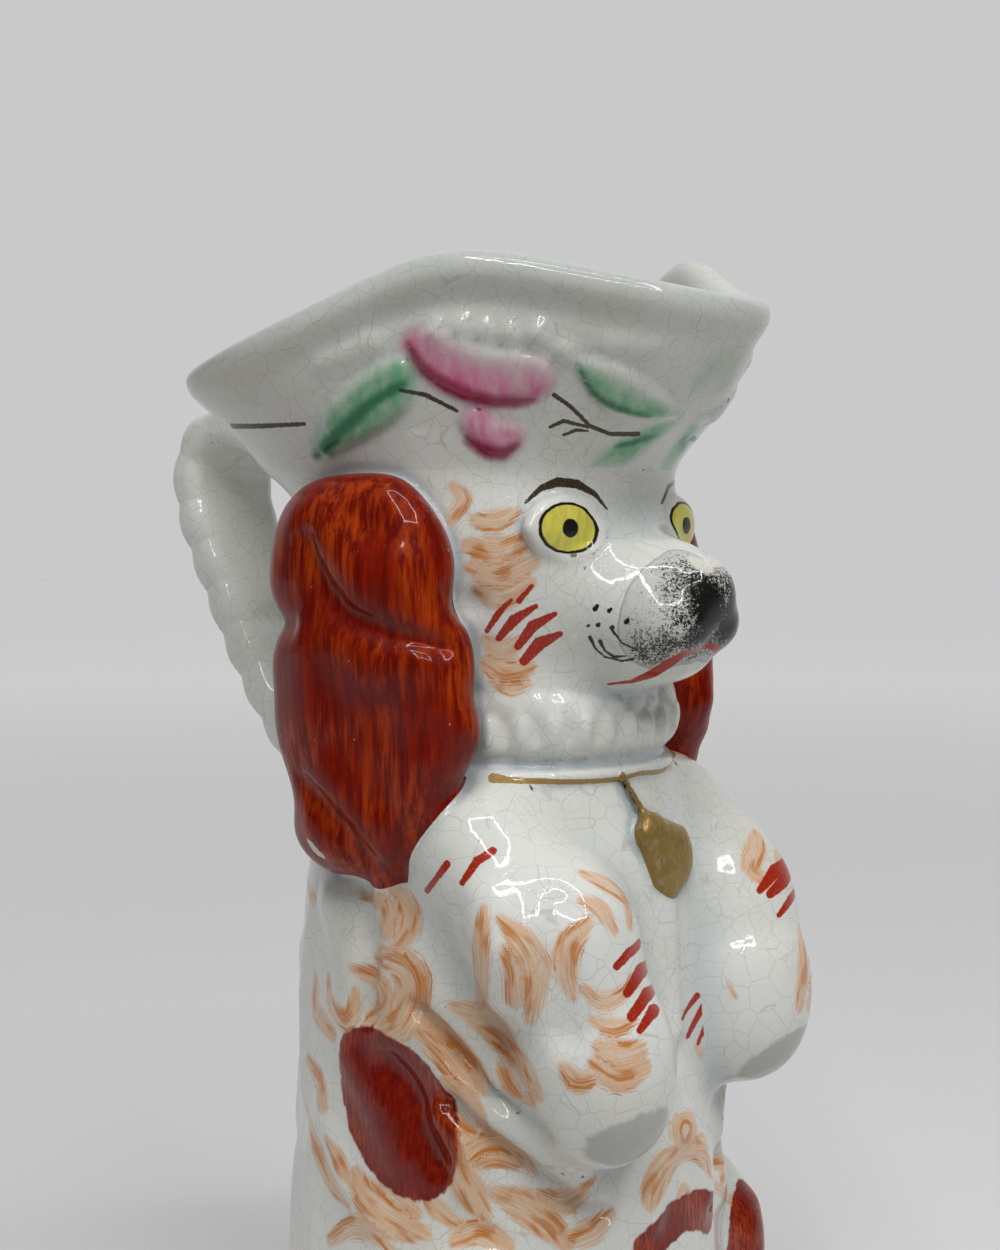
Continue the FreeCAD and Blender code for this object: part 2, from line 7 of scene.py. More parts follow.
import bpy
import numpy as np
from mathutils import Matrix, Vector


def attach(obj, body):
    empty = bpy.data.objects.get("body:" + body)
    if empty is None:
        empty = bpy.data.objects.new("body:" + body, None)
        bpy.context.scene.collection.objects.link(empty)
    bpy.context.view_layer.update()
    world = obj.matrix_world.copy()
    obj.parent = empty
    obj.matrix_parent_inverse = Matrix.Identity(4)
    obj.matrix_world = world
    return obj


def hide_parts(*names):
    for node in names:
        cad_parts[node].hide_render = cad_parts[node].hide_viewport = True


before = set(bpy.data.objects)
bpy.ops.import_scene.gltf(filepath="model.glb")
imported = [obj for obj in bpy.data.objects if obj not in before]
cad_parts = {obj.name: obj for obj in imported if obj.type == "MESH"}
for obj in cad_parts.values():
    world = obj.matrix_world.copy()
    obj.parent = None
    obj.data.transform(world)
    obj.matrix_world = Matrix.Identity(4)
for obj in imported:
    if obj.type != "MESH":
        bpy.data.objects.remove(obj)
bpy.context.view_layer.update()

MM = 0.001
FINENESS = 1.0

# The photograph's camera: its place, heading and focal length

PHOTO_WIDTH, PHOTO_HEIGHT = 1000, 1250
CAMERA_HEADING = math.radians(50)
CAMERA_DISTANCE = 372.0
CAMERA_LEVEL = 208.0
CAMERA_PITCH = math.radians(2.8)
FOCAL_PIXELS = 1750.0
AXIS_PIXEL = 505.0
SENSOR = 36.0
SIGHT = np.array([math.sin(CAMERA_HEADING), math.cos(CAMERA_HEADING), 0.0])
ACROSS = np.array([math.cos(CAMERA_HEADING), -math.sin(CAMERA_HEADING), 0.0])
CAMERA = -CAMERA_DISTANCE * SIGHT + np.array([0.0, 0.0, CAMERA_LEVEL])


def sight_lines(pixels):
    """Directions from the camera through pixels of the photograph."""
    pixels = np.asarray(pixels, float)
    up = math.sin(CAMERA_PITCH) * SIGHT + np.array([0.0, 0.0, math.cos(CAMERA_PITCH)])
    ahead = math.cos(CAMERA_PITCH) * SIGHT - np.array([0.0, 0.0, math.sin(CAMERA_PITCH)])
    aside = (pixels[:, 0] - AXIS_PIXEL) / FOCAL_PIXELS
    upward = (PHOTO_HEIGHT / 2 - pixels[:, 1]) / FOCAL_PIXELS
    lines = ahead + aside[:, None] * ACROSS + upward[:, None] * up
    return lines / np.linalg.norm(lines, axis=1, keepdims=True)


# Distance fields: each takes points (n, 3) and gives signed distances, negative inside


def soft_min(a, b, reach):
    share = np.maximum(reach - np.abs(a - b), 0.0) / reach
    return np.minimum(a, b) - share * share * reach * 0.25


def soft_max(a, b, reach):
    return -soft_min(-a, -b, reach)


def ellipsoid(p, centre, radii):
    q = (p - np.asarray(centre)) / np.asarray(radii)
    k0 = np.linalg.norm(q, axis=1)
    k1 = np.linalg.norm(q / np.asarray(radii), axis=1)
    return k0 * (k0 - 1.0) / np.maximum(k1, 1e-6)


def round_cone(p, a, b, ra, rb):
    """A limb with round ends, of radius ra at a and rb at b."""
    a, b = np.asarray(a, float), np.asarray(b, float)
    ab = b - a
    share = np.clip((p - a) @ ab / (ab @ ab), 0.0, 1.0)
    return np.linalg.norm(p - a - share[:, None] * ab, axis=1) - (ra + (rb - ra) * share)


def spline(rows, samples=1500):
    """A table of rows drawn as a clamped uniform cubic spline over them."""
    rows = np.asarray(rows, float)
    spans = len(rows) - 3
    knots = np.concatenate([[0] * 3, np.arange(spans + 1), [spans] * 3]).astype(float)
    t = np.linspace(0, spans - 1e-9, samples)
    basis = [np.where((t >= knots[i]) & (t < knots[i + 1]), 1.0, 0.0) for i in range(len(knots) - 1)]
    for degree in (1, 2, 3):
        raised = []
        for i in range(len(basis) - 1):
            below, above = knots[i + degree] - knots[i], knots[i + degree + 1] - knots[i + 1]
            left = (t - knots[i]) / below * basis[i] if below > 0 else 0.0
            right = (knots[i + degree + 1] - t) / above * basis[i + 1] if above > 0 else 0.0
            raised.append(left + right)
        basis = raised
    return np.stack(basis, axis=1) @ rows


class Column:
    """A form of elliptical sections stacked along one direction."""

    def __init__(self, rows):
        table = spline(rows)
        order = np.argsort(table[:, 0], kind="stable")
        self.low, self.high = table[0, 0], table[-1, 0]
        self.level = np.linspace(self.low, self.high, 1200)
        self.values = [np.interp(self.level, table[order, 0], table[order, i]) for i in (1, 2, 3, 4)]
        self.slopes = [np.gradient(value, self.level) for value in self.values]

    def __call__(self, along, a, b):
        """Distance, given the place along the column and the two places across it."""
        half_a, half_b, mid_a, mid_b = (np.interp(along, self.level, v) for v in self.values)
        slope_a, slope_b, shift_a, shift_b = (np.interp(along, self.level, v) for v in self.slopes)
        ua, ub = (a - mid_a) / half_a, (b - mid_b) / half_b
        rho = np.maximum(np.hypot(ua, ub), 1e-4)
        turn = (ua * (shift_a + ua * slope_a) / half_a + ub * (shift_b + ub * slope_b) / half_b) / rho
        level = np.sqrt((ua / half_a) ** 2 + (ub / half_b) ** 2) / rho
        return (rho - 1.0) / np.hypot(level, np.minimum(np.abs(turn), level))


# Body, level by level: level, half width, half depth, shift to the side, setback

BODY = Column([
    (0, 45, 46, 0, 0),
    (34, 45.5, 48, 0, 0),
    (72, 42.5, 47, 0, 0),
    (104, 41.5, 44.5, 0, 0),
    (134, 43, 43.5, 0, 0),
    (150, 39.5, 39.5, 0, 0),
    (163, 33, 33, 0, 0),
    (175, 32.5, 32.5, 0, 0),
    (188, 37, 36, 0, 0),
    (210, 41, 40.5, 0, 1),
    (222, 40, 40, 0, 7),
])
BROW = 222.0
FACE_FRONT, FACE_LEVEL, FACE_HALF_HEIGHT, FACE_FADE = 34.4, 213.0, 8.0, 0.03
WALL, FLOOR = 5.5, 7.0


def trunk(p):
    """The body, its face flattened between the eyes."""
    beyond = np.maximum(np.abs(p[:, 2] - FACE_LEVEL) - FACE_HALF_HEIGHT, 0.0)
    plane = -p[:, 1] - FACE_FRONT - FACE_FADE * beyond**2
    return soft_max(BODY(p[:, 2], p[:, 0], p[:, 1]), plane, 5.0)


# Hat: level, radius at the middle of a side and at a corner, setback of its middle

HAT_TABLE = np.array([
    (212, 35, 35, 5),
    (222, 40, 41, 7),
    (231, 42, 51, 4),
    (241, 44.5, 59.2, 4),
    (252, 47, 63.8, 4),
    (268, 49.5, 67.5, 4),
])
HAT_SMOOTH = spline(HAT_TABLE[[0, 0, 1, 2, 3, 4, 5, 5]])
HAT_FOOT, HAT_TOP = 212, 270
HAT_WALL, CORNER_WALL = 7.0, 2.4
CORNER_SHARPNESS = 1.35
SPOUT_LEVEL, SIDE_CREST, REAR_CORNER, REAR_CREST = 254.5, 262.0, 242.5, 253.5
LEFT_LIFT, LEFT_HEADING, LEFT_SPREAD = 8.0, math.radians(-22), math.radians(34)
CORNER_PUSH = np.array([(212, 0), (222, 6.5), (231, 7.2), (241, 8.6), (260, 8.4)])
BEAD_HEIGHT, BEAD_FOOT, BEAD_EASE = 1.3, 7.6, 1.1
HOLLOW_DEPTH, HOLLOW_LEVEL, HOLLOW_WIDTH = 1.1, 9.2, 2.4
LEDGE_FOOT, LEDGE_HEIGHT = 226, 12


def swell(heading):
    """1 at the hat's three corners and 0 at the middle of its sides."""
    return (1 + np.cos(3 * (heading + math.pi / 2))) / 2


def rim_level(heading):
    ahead = (1 + np.cos(heading + math.pi / 2)) / 2
    corner = REAR_CORNER + (SPOUT_LEVEL - REAR_CORNER) * (ahead - 0.25) / 0.75
    crest = REAR_CREST + (SIDE_CREST - REAR_CREST) * ahead / 0.75
    crest = crest + LEFT_LIFT * np.exp(-(((heading - LEFT_HEADING) / LEFT_SPREAD) ** 2))
    return crest + (corner - crest) * swell(heading)


def corner_push(heading, level):
    """How far the two rear corners stand out beyond the table."""
    rearward = (1 - np.cos(heading + math.pi / 2)) / 2
    push = np.interp(level, CORNER_PUSH[:, 0], CORNER_PUSH[:, 1]) * np.clip(1.25 * rearward - 0.25, 0, 1)
    return push * swell(heading) ** CORNER_SHARPNESS


def brim_radius(heading, level):
    """The hat's outer radius about its own middle."""
    side = np.interp(level, HAT_SMOOTH[:, 0], HAT_SMOOTH[:, 1])
    corner = np.interp(level, HAT_SMOOTH[:, 0], HAT_SMOOTH[:, 2])
    return side + (corner - side) * swell(heading) ** CORNER_SHARPNESS + corner_push(heading, level)


def hat_sides(p):
    """Distances outside the hat's outer face and inside its inner face, and height over its rim."""
    y = p[:, 1] - np.interp(p[:, 2], HAT_SMOOTH[:, 0], HAT_SMOOTH[:, 3])
    heading = np.arctan2(y, p[:, 0])
    radius = np.hypot(p[:, 0], y)
    level = np.clip(p[:, 2], HAT_FOOT, HAT_TOP)
    outer = brim_radius(heading, level)
    flare = brim_radius(heading, level + 0.5) - brim_radius(heading, level - 0.5)
    along = (brim_radius(heading + 0.01, level) - brim_radius(heading - 0.01, level)) / (0.02 * outer)
    steep = np.sqrt(1 + flare**2 + along**2)
    below = rim_level(heading) - p[:, 2]
    lip = 1 / (1 + np.exp((below - BEAD_FOOT) / BEAD_EASE))
    hollow = np.exp(-(((below - HOLLOW_LEVEL) / HOLLOW_WIDTH) ** 2))
    bead = BEAD_HEIGHT * lip - HOLLOW_DEPTH * hollow * (1 - swell(heading) ** 2)
    ledge = corner_push(heading, level) * (1 - np.clip((level - LEDGE_FOOT) / LEDGE_HEIGHT, 0, 1))
    inner = (radius - outer + ledge) / steep + HAT_WALL + CORNER_WALL * swell(heading) ** 3
    return (radius - outer) / steep - bead, inner, -below


# Members of the body


def mirrored(p):
    """The points' places on the dog's right side."""
    return np.stack([-np.abs(p[:, 0]), p[:, 1], p[:, 2]], axis=1)


EAR_TURN = math.radians(-10)
EAR_PLACE = (-42.0, -3.0)
EAR_THICKNESS, EAR_EDGE = 9.8, 17.0
EAR_TOP, EAR_FOOT, EAR_BOW = 220.6, 141.6, 0.010
EAR_LEAN, EAR_MIDDLE = 0.03, 180.0

# The ear's outline: level, rear edge and front edge

EAR_EDGES = spline([
    (136, 20, -10),
    (144, 21, -12.4),
    (150, 21, -16),
    (155, 18.6, -17.8),
    (161, 20.2, -16.4),
    (166, 22.4, -20.6),
    (172, 23.8, -22.8),
    (178, 23.4, -19.6),
    (184, 24.2, -21.2),
    (189, 22.2, -20.6),
    (193, 21.2, -18.2),
    (198, 24.4, -15.4),
    (204, 23.6, -16.8),
    (210, 22.8, -13.4),
    (218, 22.2, -12.6),
    (226, 21, -11),
])


def ear(p):
    """A hanging lobe: a wavy outline in its own plane, domed on both faces."""
    q = mirrored(p)
    c, s = math.cos(EAR_TURN), math.sin(EAR_TURN)
    x, y = q[:, 0] - EAR_PLACE[0], q[:, 1] - EAR_PLACE[1]
    out, along = c * x - s * y, s * x + c * y
    rear = along - np.interp(q[:, 2], EAR_EDGES[:, 0], EAR_EDGES[:, 1])
    front = np.interp(q[:, 2], EAR_EDGES[:, 0], EAR_EDGES[:, 2]) - along
    bow = EAR_BOW * (along - 4.0) ** 2
    ends = np.maximum(q[:, 2] - EAR_TOP + bow, EAR_FOOT + bow - q[:, 2])
    outline = soft_max(np.maximum(rear, front), ends, 12.0)
    out = out + EAR_LEAN * (q[:, 2] - EAR_MIDDLE)
    inward = np.maximum(1 + outline / EAR_EDGE, 0.0)
    rho = np.maximum(np.hypot(out / EAR_THICKNESS, inward), 1e-4)
    steep = np.hypot(out / EAR_THICKNESS**2, inward / EAR_EDGE) / rho
    return (rho - 1) / np.maximum(steep, 0.02)


def foreleg(p, paw):
    """A raised foreleg on the dog's right: shoulder, upper arm, forearm and hanging paw."""
    q = p / np.array([1.08, 1.0, 1.0])
    d = round_cone(q, (-28.5, -20, 148), (-26.5, -35, 133), 13.0, 14.0)
    d = soft_min(d, round_cone(q, (-26.5, -36, 133), (-23.6, -43.0, paw + 24), 13.6, 13.0), 8.0)
    return soft_min(d, ellipsoid(p, (-24.5, -44.0, paw + 13.0), (14.0, 13.6, 14.5)), 9.0)


def haunch(p):
    """A folded hind leg: thigh and knee."""
    q = mirrored(p)
    d = ellipsoid(q, (-34, -12, 30), (17, 31.5, 46))
    return soft_min(d, ellipsoid(q, (-34, -22, 55), (14.5, 19, 20)), 6.0)


def hind_foot(p):
    q = mirrored(p)
    return round_cone(q * np.array([1, 1, 1.15]), (-27.5, -36, 9), (-27.5, -55, 8), 12.0, 10.5)


def muzzle(p):
    """The snout, its bridge and the two cheeks under it."""
    q = mirrored(p)
    d = ellipsoid(p, (0, -30, 195.5), (18.0, 19, 14))
    d = soft_min(d, ellipsoid(p, (0, -40, 197.0), (11.0, 15.0, 10.5)), 6.0)
    return soft_min(d, ellipsoid(q, (-5.5, -42, 191.5), (8.6, 11.5, 7.2)), 5.0)


def lower_jaw(p):
    return ellipsoid(p, (0, -36, 184.5), (11.0, 12.5, 5.6))


def nose_pad(p):
    return ellipsoid(p, (0, -50.5, 197.5), (7.4, 5.0, 7.0))


EYES = {
    "right": (np.array([-19.5, -30.2, 210.2]), math.radians(14)),
    "left": (np.array([17.4, -30.9, 210.9]), math.radians(-9)),
}


def eye(p, side):
    """A flat oval bulge, turned to follow the head."""
    centre, turn = EYES[side]
    q = p - centre
    c, s = math.cos(turn), math.sin(turn)
    local = np.stack([c * q[:, 0] - s * q[:, 1], s * q[:, 0] + c * q[:, 1], q[:, 2]], axis=1)
    return ellipsoid(local, (0, 0, 0), (8.5, 3.4, 6.0))


def torus(p, level, radius, thickness):
    """A level ring about the axis."""
    ring = np.hypot(p[:, 0], p[:, 1]) - radius
    return np.hypot(ring, p[:, 2] - level) - thickness


RUFF_BEADS, RUFF_DENT = 36, 1.4


def ruff(p):
    """A beaded roll round the throat, with a thin roll above it."""
    heading = np.arctan2(p[:, 1], p[:, 0])
    bead = np.abs(np.cos(heading * RUFF_BEADS / 2))
    dent = RUFF_DENT * bead**2 * np.exp(-(((p[:, 2] - 170.5) / 3.4) ** 2))
    d = torus(p, 170.0, 31.0, 5.6) + dent
    return soft_min(d, torus(p, 175.2, 32.4, 2.0 + 0.5 * bead), 1.2)


STRAP_LEVEL, STRAP_RADIUS, STRAP_THICKNESS, STRAP_KNOB = 161.6, 34.3, 1.35, 0.25


def strap(p):
    """A thin ring round the throat, a little thicker at its two ends before the ears."""
    end = np.hypot(np.hypot(np.abs(p[:, 0]) - 28.0, p[:, 1] + 20.5), 0.6 * (p[:, 2] - STRAP_LEVEL))
    knob = STRAP_KNOB * np.exp(-((end / 2.6) ** 2))
    return torus(p, STRAP_LEVEL, STRAP_RADIUS, STRAP_THICKNESS + knob)


def link(p):
    return round_cone(p, (-3.0, -40.4, 151.0), (-5.9, -35.2, 161.2), 0.75, 0.65)


LOCKET_PLACE, LOCKET_LEAN = np.array([-0.4, -41.2, 145.2]), 0.14
LOCKET_THICKNESS, LOCKET_EDGE = 2.6, 5.0


def locket(p):
    """A low pear-shaped drop, thick in its middle."""
    q = p - LOCKET_PLACE
    away = q[:, 1] - LOCKET_LEAN * q[:, 2]
    outline = round_cone(q[:, ::2], (-2.4, 4.6), (1.8, 0.0), 4.4, 7.6)
    inward = np.maximum(1 + outline / LOCKET_EDGE, 0.0)
    rho = np.maximum(np.hypot(away / LOCKET_THICKNESS, inward), 1e-4)
    steep = np.hypot(away / LOCKET_THICKNESS**2, inward / LOCKET_EDGE) / rho
    return (rho - 1) / np.maximum(steep, 0.05)


# Handle: its path in the plane of symmetry as setback and level, and its widths along the run

HANDLE_PLACES = [(38, 227), (62, 236), (85, 238), (93, 222), (81, 198), (69.5, 174), (52, 152), (32, 143)]
HANDLE_PATH = spline(HANDLE_PLACES, 72)
HANDLE_RUN = np.concatenate([[0], np.cumsum(np.linalg.norm(np.diff(HANDLE_PATH, axis=0), axis=1))])
HANDLE_RUNS, HANDLE_HALF_WIDTHS = [0, 70, 130, 200], [13.0, 13.0, 9.5, 9.5]
HANDLE_THICKNESS, HANDLE_EDGE = 4.6, 4.0
HANDLE_WEB, WEB_RUN = 10.0, 46
SCALLOP_HEIGHT, SCALLOP_ASIDE, SCALLOP_PITCH, SCALLOP_START = 0.9, 0.5, 11.0, 35


def handle(p):
    """A flat strap along its path, with a scalloped outer edge."""
    yz = p[:, 1:]
    best = np.full(len(p), 1e9)
    run, outside = np.zeros(len(p)), np.zeros(len(p))
    for i in range(len(HANDLE_PATH) - 1):
        a, b = HANDLE_PATH[i], HANDLE_PATH[i + 1]
        ab = b - a
        share = np.clip((yz - a) @ ab / (ab @ ab), 0, 1)
        off = yz - a - share[:, None] * ab
        far = np.einsum("ij,ij->i", off, off)
        near = far < best
        best = np.where(near, far, best)
        run = np.where(near, HANDLE_RUN[i] + share * np.linalg.norm(ab), run)
        outside = np.where(near, np.sign(ab[0] * off[:, 1] - ab[1] * off[:, 0]), outside)
    away = np.sqrt(best) * outside
    taper = np.interp(run, HANDLE_RUNS, HANDLE_HALF_WIDTHS)
    scallop = np.abs(np.sin(run * math.pi / SCALLOP_PITCH)) * np.clip((run - SCALLOP_START) / 20, 0, 1)
    thick = HANDLE_THICKNESS + SCALLOP_HEIGHT * scallop * (away > 0) * np.clip(away / 3, 0, 1)
    thick = thick + HANDLE_WEB * np.clip(1 - run / WEB_RUN, 0, 1) * (away < 0)
    across = np.maximum(np.abs(p[:, 0]) - taper - SCALLOP_ASIDE * scallop + HANDLE_EDGE, 0)
    return np.hypot(across, np.maximum(np.abs(away) - thick + HANDLE_EDGE, 0)) - HANDLE_EDGE


# Members by name: field, the box's low and high corners, blend reach, and side of the dog or 0

MEMBERS = {}


def member(name, field, low, high, reach, side=0):
    MEMBERS[name] = (field, np.array(low, float), np.array(high, float), reach, side)


member("muzzle", muzzle, (-22, -58, 172), (22, -8, 214), 9.0)
member("lower_jaw", lower_jaw, (-16, -54, 171), (16, -16, 192), 4.0)
member("nose_pad", nose_pad, (-12, -60, 188), (12, -40, 210), 1.6)
for side, word in ((-1, "right"), (1, "left")):
    low, high = ((-60, 0), (0, 60))[side > 0]
    paw = (91.5, 96.5)[side > 0]

    def leg(p, paw=paw, side=side):
        return foreleg(p * np.array([-side, 1, 1]), paw)

    def one_eye(p, word=word):
        return eye(p, word)

    member(f"{word}_foreleg", leg, (low, -66, 82), (high, 2, 172), 7.5, side)
    member(f"{word}_haunch", haunch, (low, -58, -2), (high, 30, 84), 7.0, side)
    member(f"{word}_hind_foot", hind_foot, (low, -74, -2), (high, -16, 26), 4.0, side)
    member(f"{word}_ear", ear, (low, -36, 136), (high, 32, 226), 2.0, side)
    member(f"{word}_eye", one_eye, (low, -48, 200), (high, -20, 221), 1.2, side)
member("neck_ruff", ruff, (-42, -42, 160), (42, 42, 180), 1.6)
member("collar_strap", strap, (-40, -40, 157), (40, 40, 166), 1.2)
member("locket_link", link, (-9, -46, 148), (2, -30, 166), 1.0)
member("locket", locket, (-12, -50, 134), (12, -30, 158), 1.4)
member("handle", handle, (-18, 28, 138), (18, 104, 248), 7.0)

# A member's piece goes this deep into the core. Far from its box its field is taken as one value.

SINK = 5.0
BOX_MARGIN, SIDE_MARGIN, FAR_VALUE = 12, 4, 30.0


def plain_fields(p):
    """The pitcher's distance field before its fine relief, and each member's own, at the points."""
    own = {}
    shell = trunk(p)
    body = np.maximum(shell, p[:, 2] - BROW - 4)
    outer, inner, over = hat_sides(p)
    hat = np.maximum(outer, HAT_FOOT - p[:, 2])
    core = soft_min(body, hat, 4.0)
    own["core"] = core
    whole = core
    for name, (field, low, high, reach, side) in MEMBERS.items():
        near = np.all((p > low - BOX_MARGIN) & (p < high + BOX_MARGIN), axis=1)
        value = np.full(len(p), FAR_VALUE)
        if near.any():
            value[near] = field(p[near])
            if side:
                value[near] = np.maximum(value[near], -side * p[near][:, 0] - SIDE_MARGIN)
        whole = soft_min(whole, value, reach)
        own[name] = np.maximum(value, -core - SINK)
    whole = soft_max(whole, -p[:, 2], 2.0)
    whole = soft_max(whole, over, 6.0)
    cavity = np.where(p[:, 2] < BROW, shell + WALL, inner)
    cavity = soft_max(cavity, FLOOR - p[:, 2], 3.0)
    return soft_max(whole, -cavity, 5.0), own


# Lines drawn on the form: brush strokes, washes, ridges and grooves, given by pixels of the photograph

LINES = []


def eased(rows, parts):
    """Rows with more between them, on a smooth curve through them all."""
    rows = np.asarray(rows, float)
    if len(rows) < 3:
        parts = min(parts, 2)
    ends = np.concatenate([2 * rows[:1] - rows[1:2], rows, 2 * rows[-1:] - rows[-2:-1]])
    t = np.arange(parts)[:, None] / parts
    curve = []
    for a, b, c, d in zip(ends, ends[1:], ends[2:], ends[3:]):
        square, cube = 2 * a - 5 * b + 4 * c - d, 3 * b - a - 3 * c + d
        curve.append(0.5 * (2 * b + (c - a) * t + square * t**2 + cube * t**3))
    return np.concatenate(curve + [rows[-1:]])


class Line:
    """A chain of round cones on the surface. Rows are pixel x, pixel y and radius."""

    def __init__(self, rows, paired=True, height=0.0, parts=3):
        self.rows = eased(rows, parts)
        self.paired, self.height = paired, height
        self.origins, self.rays = self.aim()
        LINES.append(self)

    def aim(self):
        """Where the rays that place the chain start, and their directions."""
        return np.tile(CAMERA, (len(self.rows), 1)), sight_lines(self.rows[:, :2])

    def set_places(self, places, normals):
        self.places, self.normals = places, normals
        self.radii = self.rows[:, 2]
        self.low = (places - self.radii[:, None]).min(axis=0)
        self.high = (places + self.radii[:, None]).max(axis=0)

    def distance(self, p):
        """Distance outside the chain, and the place across and along it."""
        if self.paired:
            p = mirrored(p)
        best, across, along = np.full(len(p), 1e3), np.zeros(len(p)), np.zeros(len(p))
        run = 0.0
        for i in range(len(self.places) - 1):
            a, b = self.places[i], self.places[i + 1]
            ab = b - a
            size = np.linalg.norm(ab)
            share = np.clip((p - a) @ ab / size**2, 0.0, 1.0)
            off = p - a - share[:, None] * ab
            radius = self.radii[i] + (self.radii[i + 1] - self.radii[i]) * share
            value = np.linalg.norm(off, axis=1) - radius
            aside = np.cross(self.normals[i] + self.normals[i + 1], ab / size)
            aside /= np.linalg.norm(aside) + 1e-9
            near = value < best
            best = np.where(near, value, best)
            across = np.where(near, off @ aside, across)
            along = np.where(near, run + share * size, along)
            run += size
        return best, across, along

    def near(self, p, margin):
        """Which points are within a margin of the chain."""
        x = -np.abs(p[:, 0]) if self.paired else p[:, 0]
        low, high = self.low - margin, self.high + margin
        inside = (x > low[0]) & (x < high[0]) & (p[:, 1] > low[1]) & (p[:, 1] < high[1])
        return np.flatnonzero(inside & (p[:, 2] > low[2]) & (p[:, 2] < high[2]))


class WrappedLine(Line):
    """A chain out of the photograph's sight. Rows are heading in degrees, level and radius."""

    def aim(self):
        turn = np.radians(self.rows[:, 0])
        outward = np.stack([np.cos(turn), np.sin(turn), 0 * turn], axis=1)
        return outward * WRAP_START + self.rows[:, 1:2] * np.array([0, 0, 1]), -outward


CAST_START, CAST_STEPS, WRAP_START = 225.0, 80, 130
PROBE = 0.04


def probed(form, p):
    """A form's values at the points, then the slopes of each along the three axes."""
    values = form(p)
    rises = []
    for axis in range(3):
        ahead = p.copy()
        ahead[:, axis] += PROBE
        rises.append([(value - here) / PROBE for value, here in zip(form(ahead), values)])
    return *values, *(np.stack(rise, axis=1) for rise in zip(*rises))


def trace_lines(form):
    """Set the places of the lines not yet placed, by casting their rays on a form."""
    open_lines = [line for line in LINES if not hasattr(line, "places")]
    origins = np.concatenate([line.origins for line in open_lines])
    rays = np.concatenate([line.rays for line in open_lines])
    far = np.where(np.linalg.norm(origins - CAMERA, axis=1) < 1, CAST_START, 0.0)
    closest, best = np.full(len(far), 1e3), far.copy()
    for _ in range(CAST_STEPS):
        value = form(origins + far[:, None] * rays)[0]
        nearer = (np.abs(value) < closest) & (closest > 0.05)
        closest, best = np.where(nearer, np.abs(value), closest), np.where(nearer, far, best)
        far = far + np.clip(value, -3, 14) * 0.75
    places = origins + best[:, None] * rays
    normals = probed(lambda p: form(p)[:1], places)[1]
    normals /= np.linalg.norm(normals, axis=1, keepdims=True)
    start = 0
    for line in open_lines:
        stop = start + len(line.rays)
        line.set_places(places[start:stop], normals[start:stop])
        start = stop


def lines(table, paired=True, kind=Line, parts=3):
    return [kind(rows, paired, parts=parts) for rows in table]


def strokes(table, paired=True):
    """Fine strokes, with no rows added, so that their nodes stay few."""
    return [Line(rows, paired, parts=1) for rows in table]


def ridges(table, paired=True, kind=Line):
    """Relief lines. Each entry is a height and a chain, whose radii are the ridge's widths."""
    return [kind(rows, paired, height, parts=1) for height, rows in table]


# Sprigs: low relief on the hat, each a chain given by pixels

SPRIG_HEIGHT, LEFT_SPRIG_HEIGHT = 1.3, 0.75
SPRIG_SINK = 0.8
SPRIGS = {
    "bloom": Line([(428, 352, 4), (470, 372, 5.6), (530, 376, 4.4)]),
    "petal": Line([(474, 422, 3), (496, 437, 3.6), (508, 436, 3.2)]),
    "rear_leaf": Line([(326, 446, 2.2), (352, 416, 5.2), (384, 392, 5.4), (398, 374, 3.2)]),
    "front_leaf": Line([(590, 370, 2.6), (618, 388, 4.6), (652, 406, 3.6), (680, 414, 1.2)]),
}


def sprig_fields(p, core):
    """Each sprig's own distance, a pillow just proud of the hat."""
    own = {}
    for word, line in SPRIGS.items():
        near = line.near(p, 8.0)
        value = np.full(len(p), FAR_VALUE)
        if len(near):
            chain = line.distance(p[near])[0]
            height = np.where(p[near, 0] > 0, LEFT_SPRIG_HEIGHT, SPRIG_HEIGHT)
            value[near] = soft_max(core[near] - height, chain, 2.4)
            value[near] = np.maximum(value[near], -core[near] - SPRIG_SINK)
        own[f"right_hat_{word}"] = np.maximum(value, p[:, 0])
        own[f"left_hat_{word}"] = np.maximum(value, -p[:, 0])
    return own


# Relief: height, then rows of pixel x, pixel y and width. The hat's table begins with the eyelids.

EAR_RELIEF = ridges([
    (-1.7, [(308, 540, 2.2), (327, 587, 2.6), (347, 613, 2.8), (393, 633, 2.8), (440, 648, 2.2)]),
    (2.3, [(335, 545, 5.5), (372, 590, 6.5), (410, 610, 6)]),
    (2, [(392, 496, 5.5), (412, 520, 5.5)]),
    (1.9, [(400, 566, 5.5), (414, 584, 5.5)]),
    (2.3, [(345, 650, 5.5), (372, 672, 6.5)]),
    (1.4, [(306, 640, 5), (314, 720, 6.5)]),
    (1.9, [(424, 670, 5), (434, 700, 5)]),
    (2, [(432, 772, 5), (418, 792, 5)]),
    (-1.1, [(378, 700, 3.4), (388, 750, 3.6), (378, 800, 3.4)]),
    (-1.5, [(302, 782, 2), (318, 799, 2.4), (345, 830, 2.6), (366, 856, 2.4)]),
    (1.2, [(314, 826, 4), (332, 848, 4)]),
    (1.2, [(330, 775, 4.5), (364, 815, 5), (392, 848, 4.5)]),
    (-1.2, [(270, 618, 3), (292, 624, 2.6)]),
    (-1.2, [(472, 604, 3), (456, 610, 2.6)]),
    (1.2, [(300, 520, 5), (350, 494, 5)]),
    (1.2, [(458, 690, 4.5), (462, 724, 4.5)]),
    (1.1, [(438, 540, 4.5), (440, 570, 4.5)]),
])

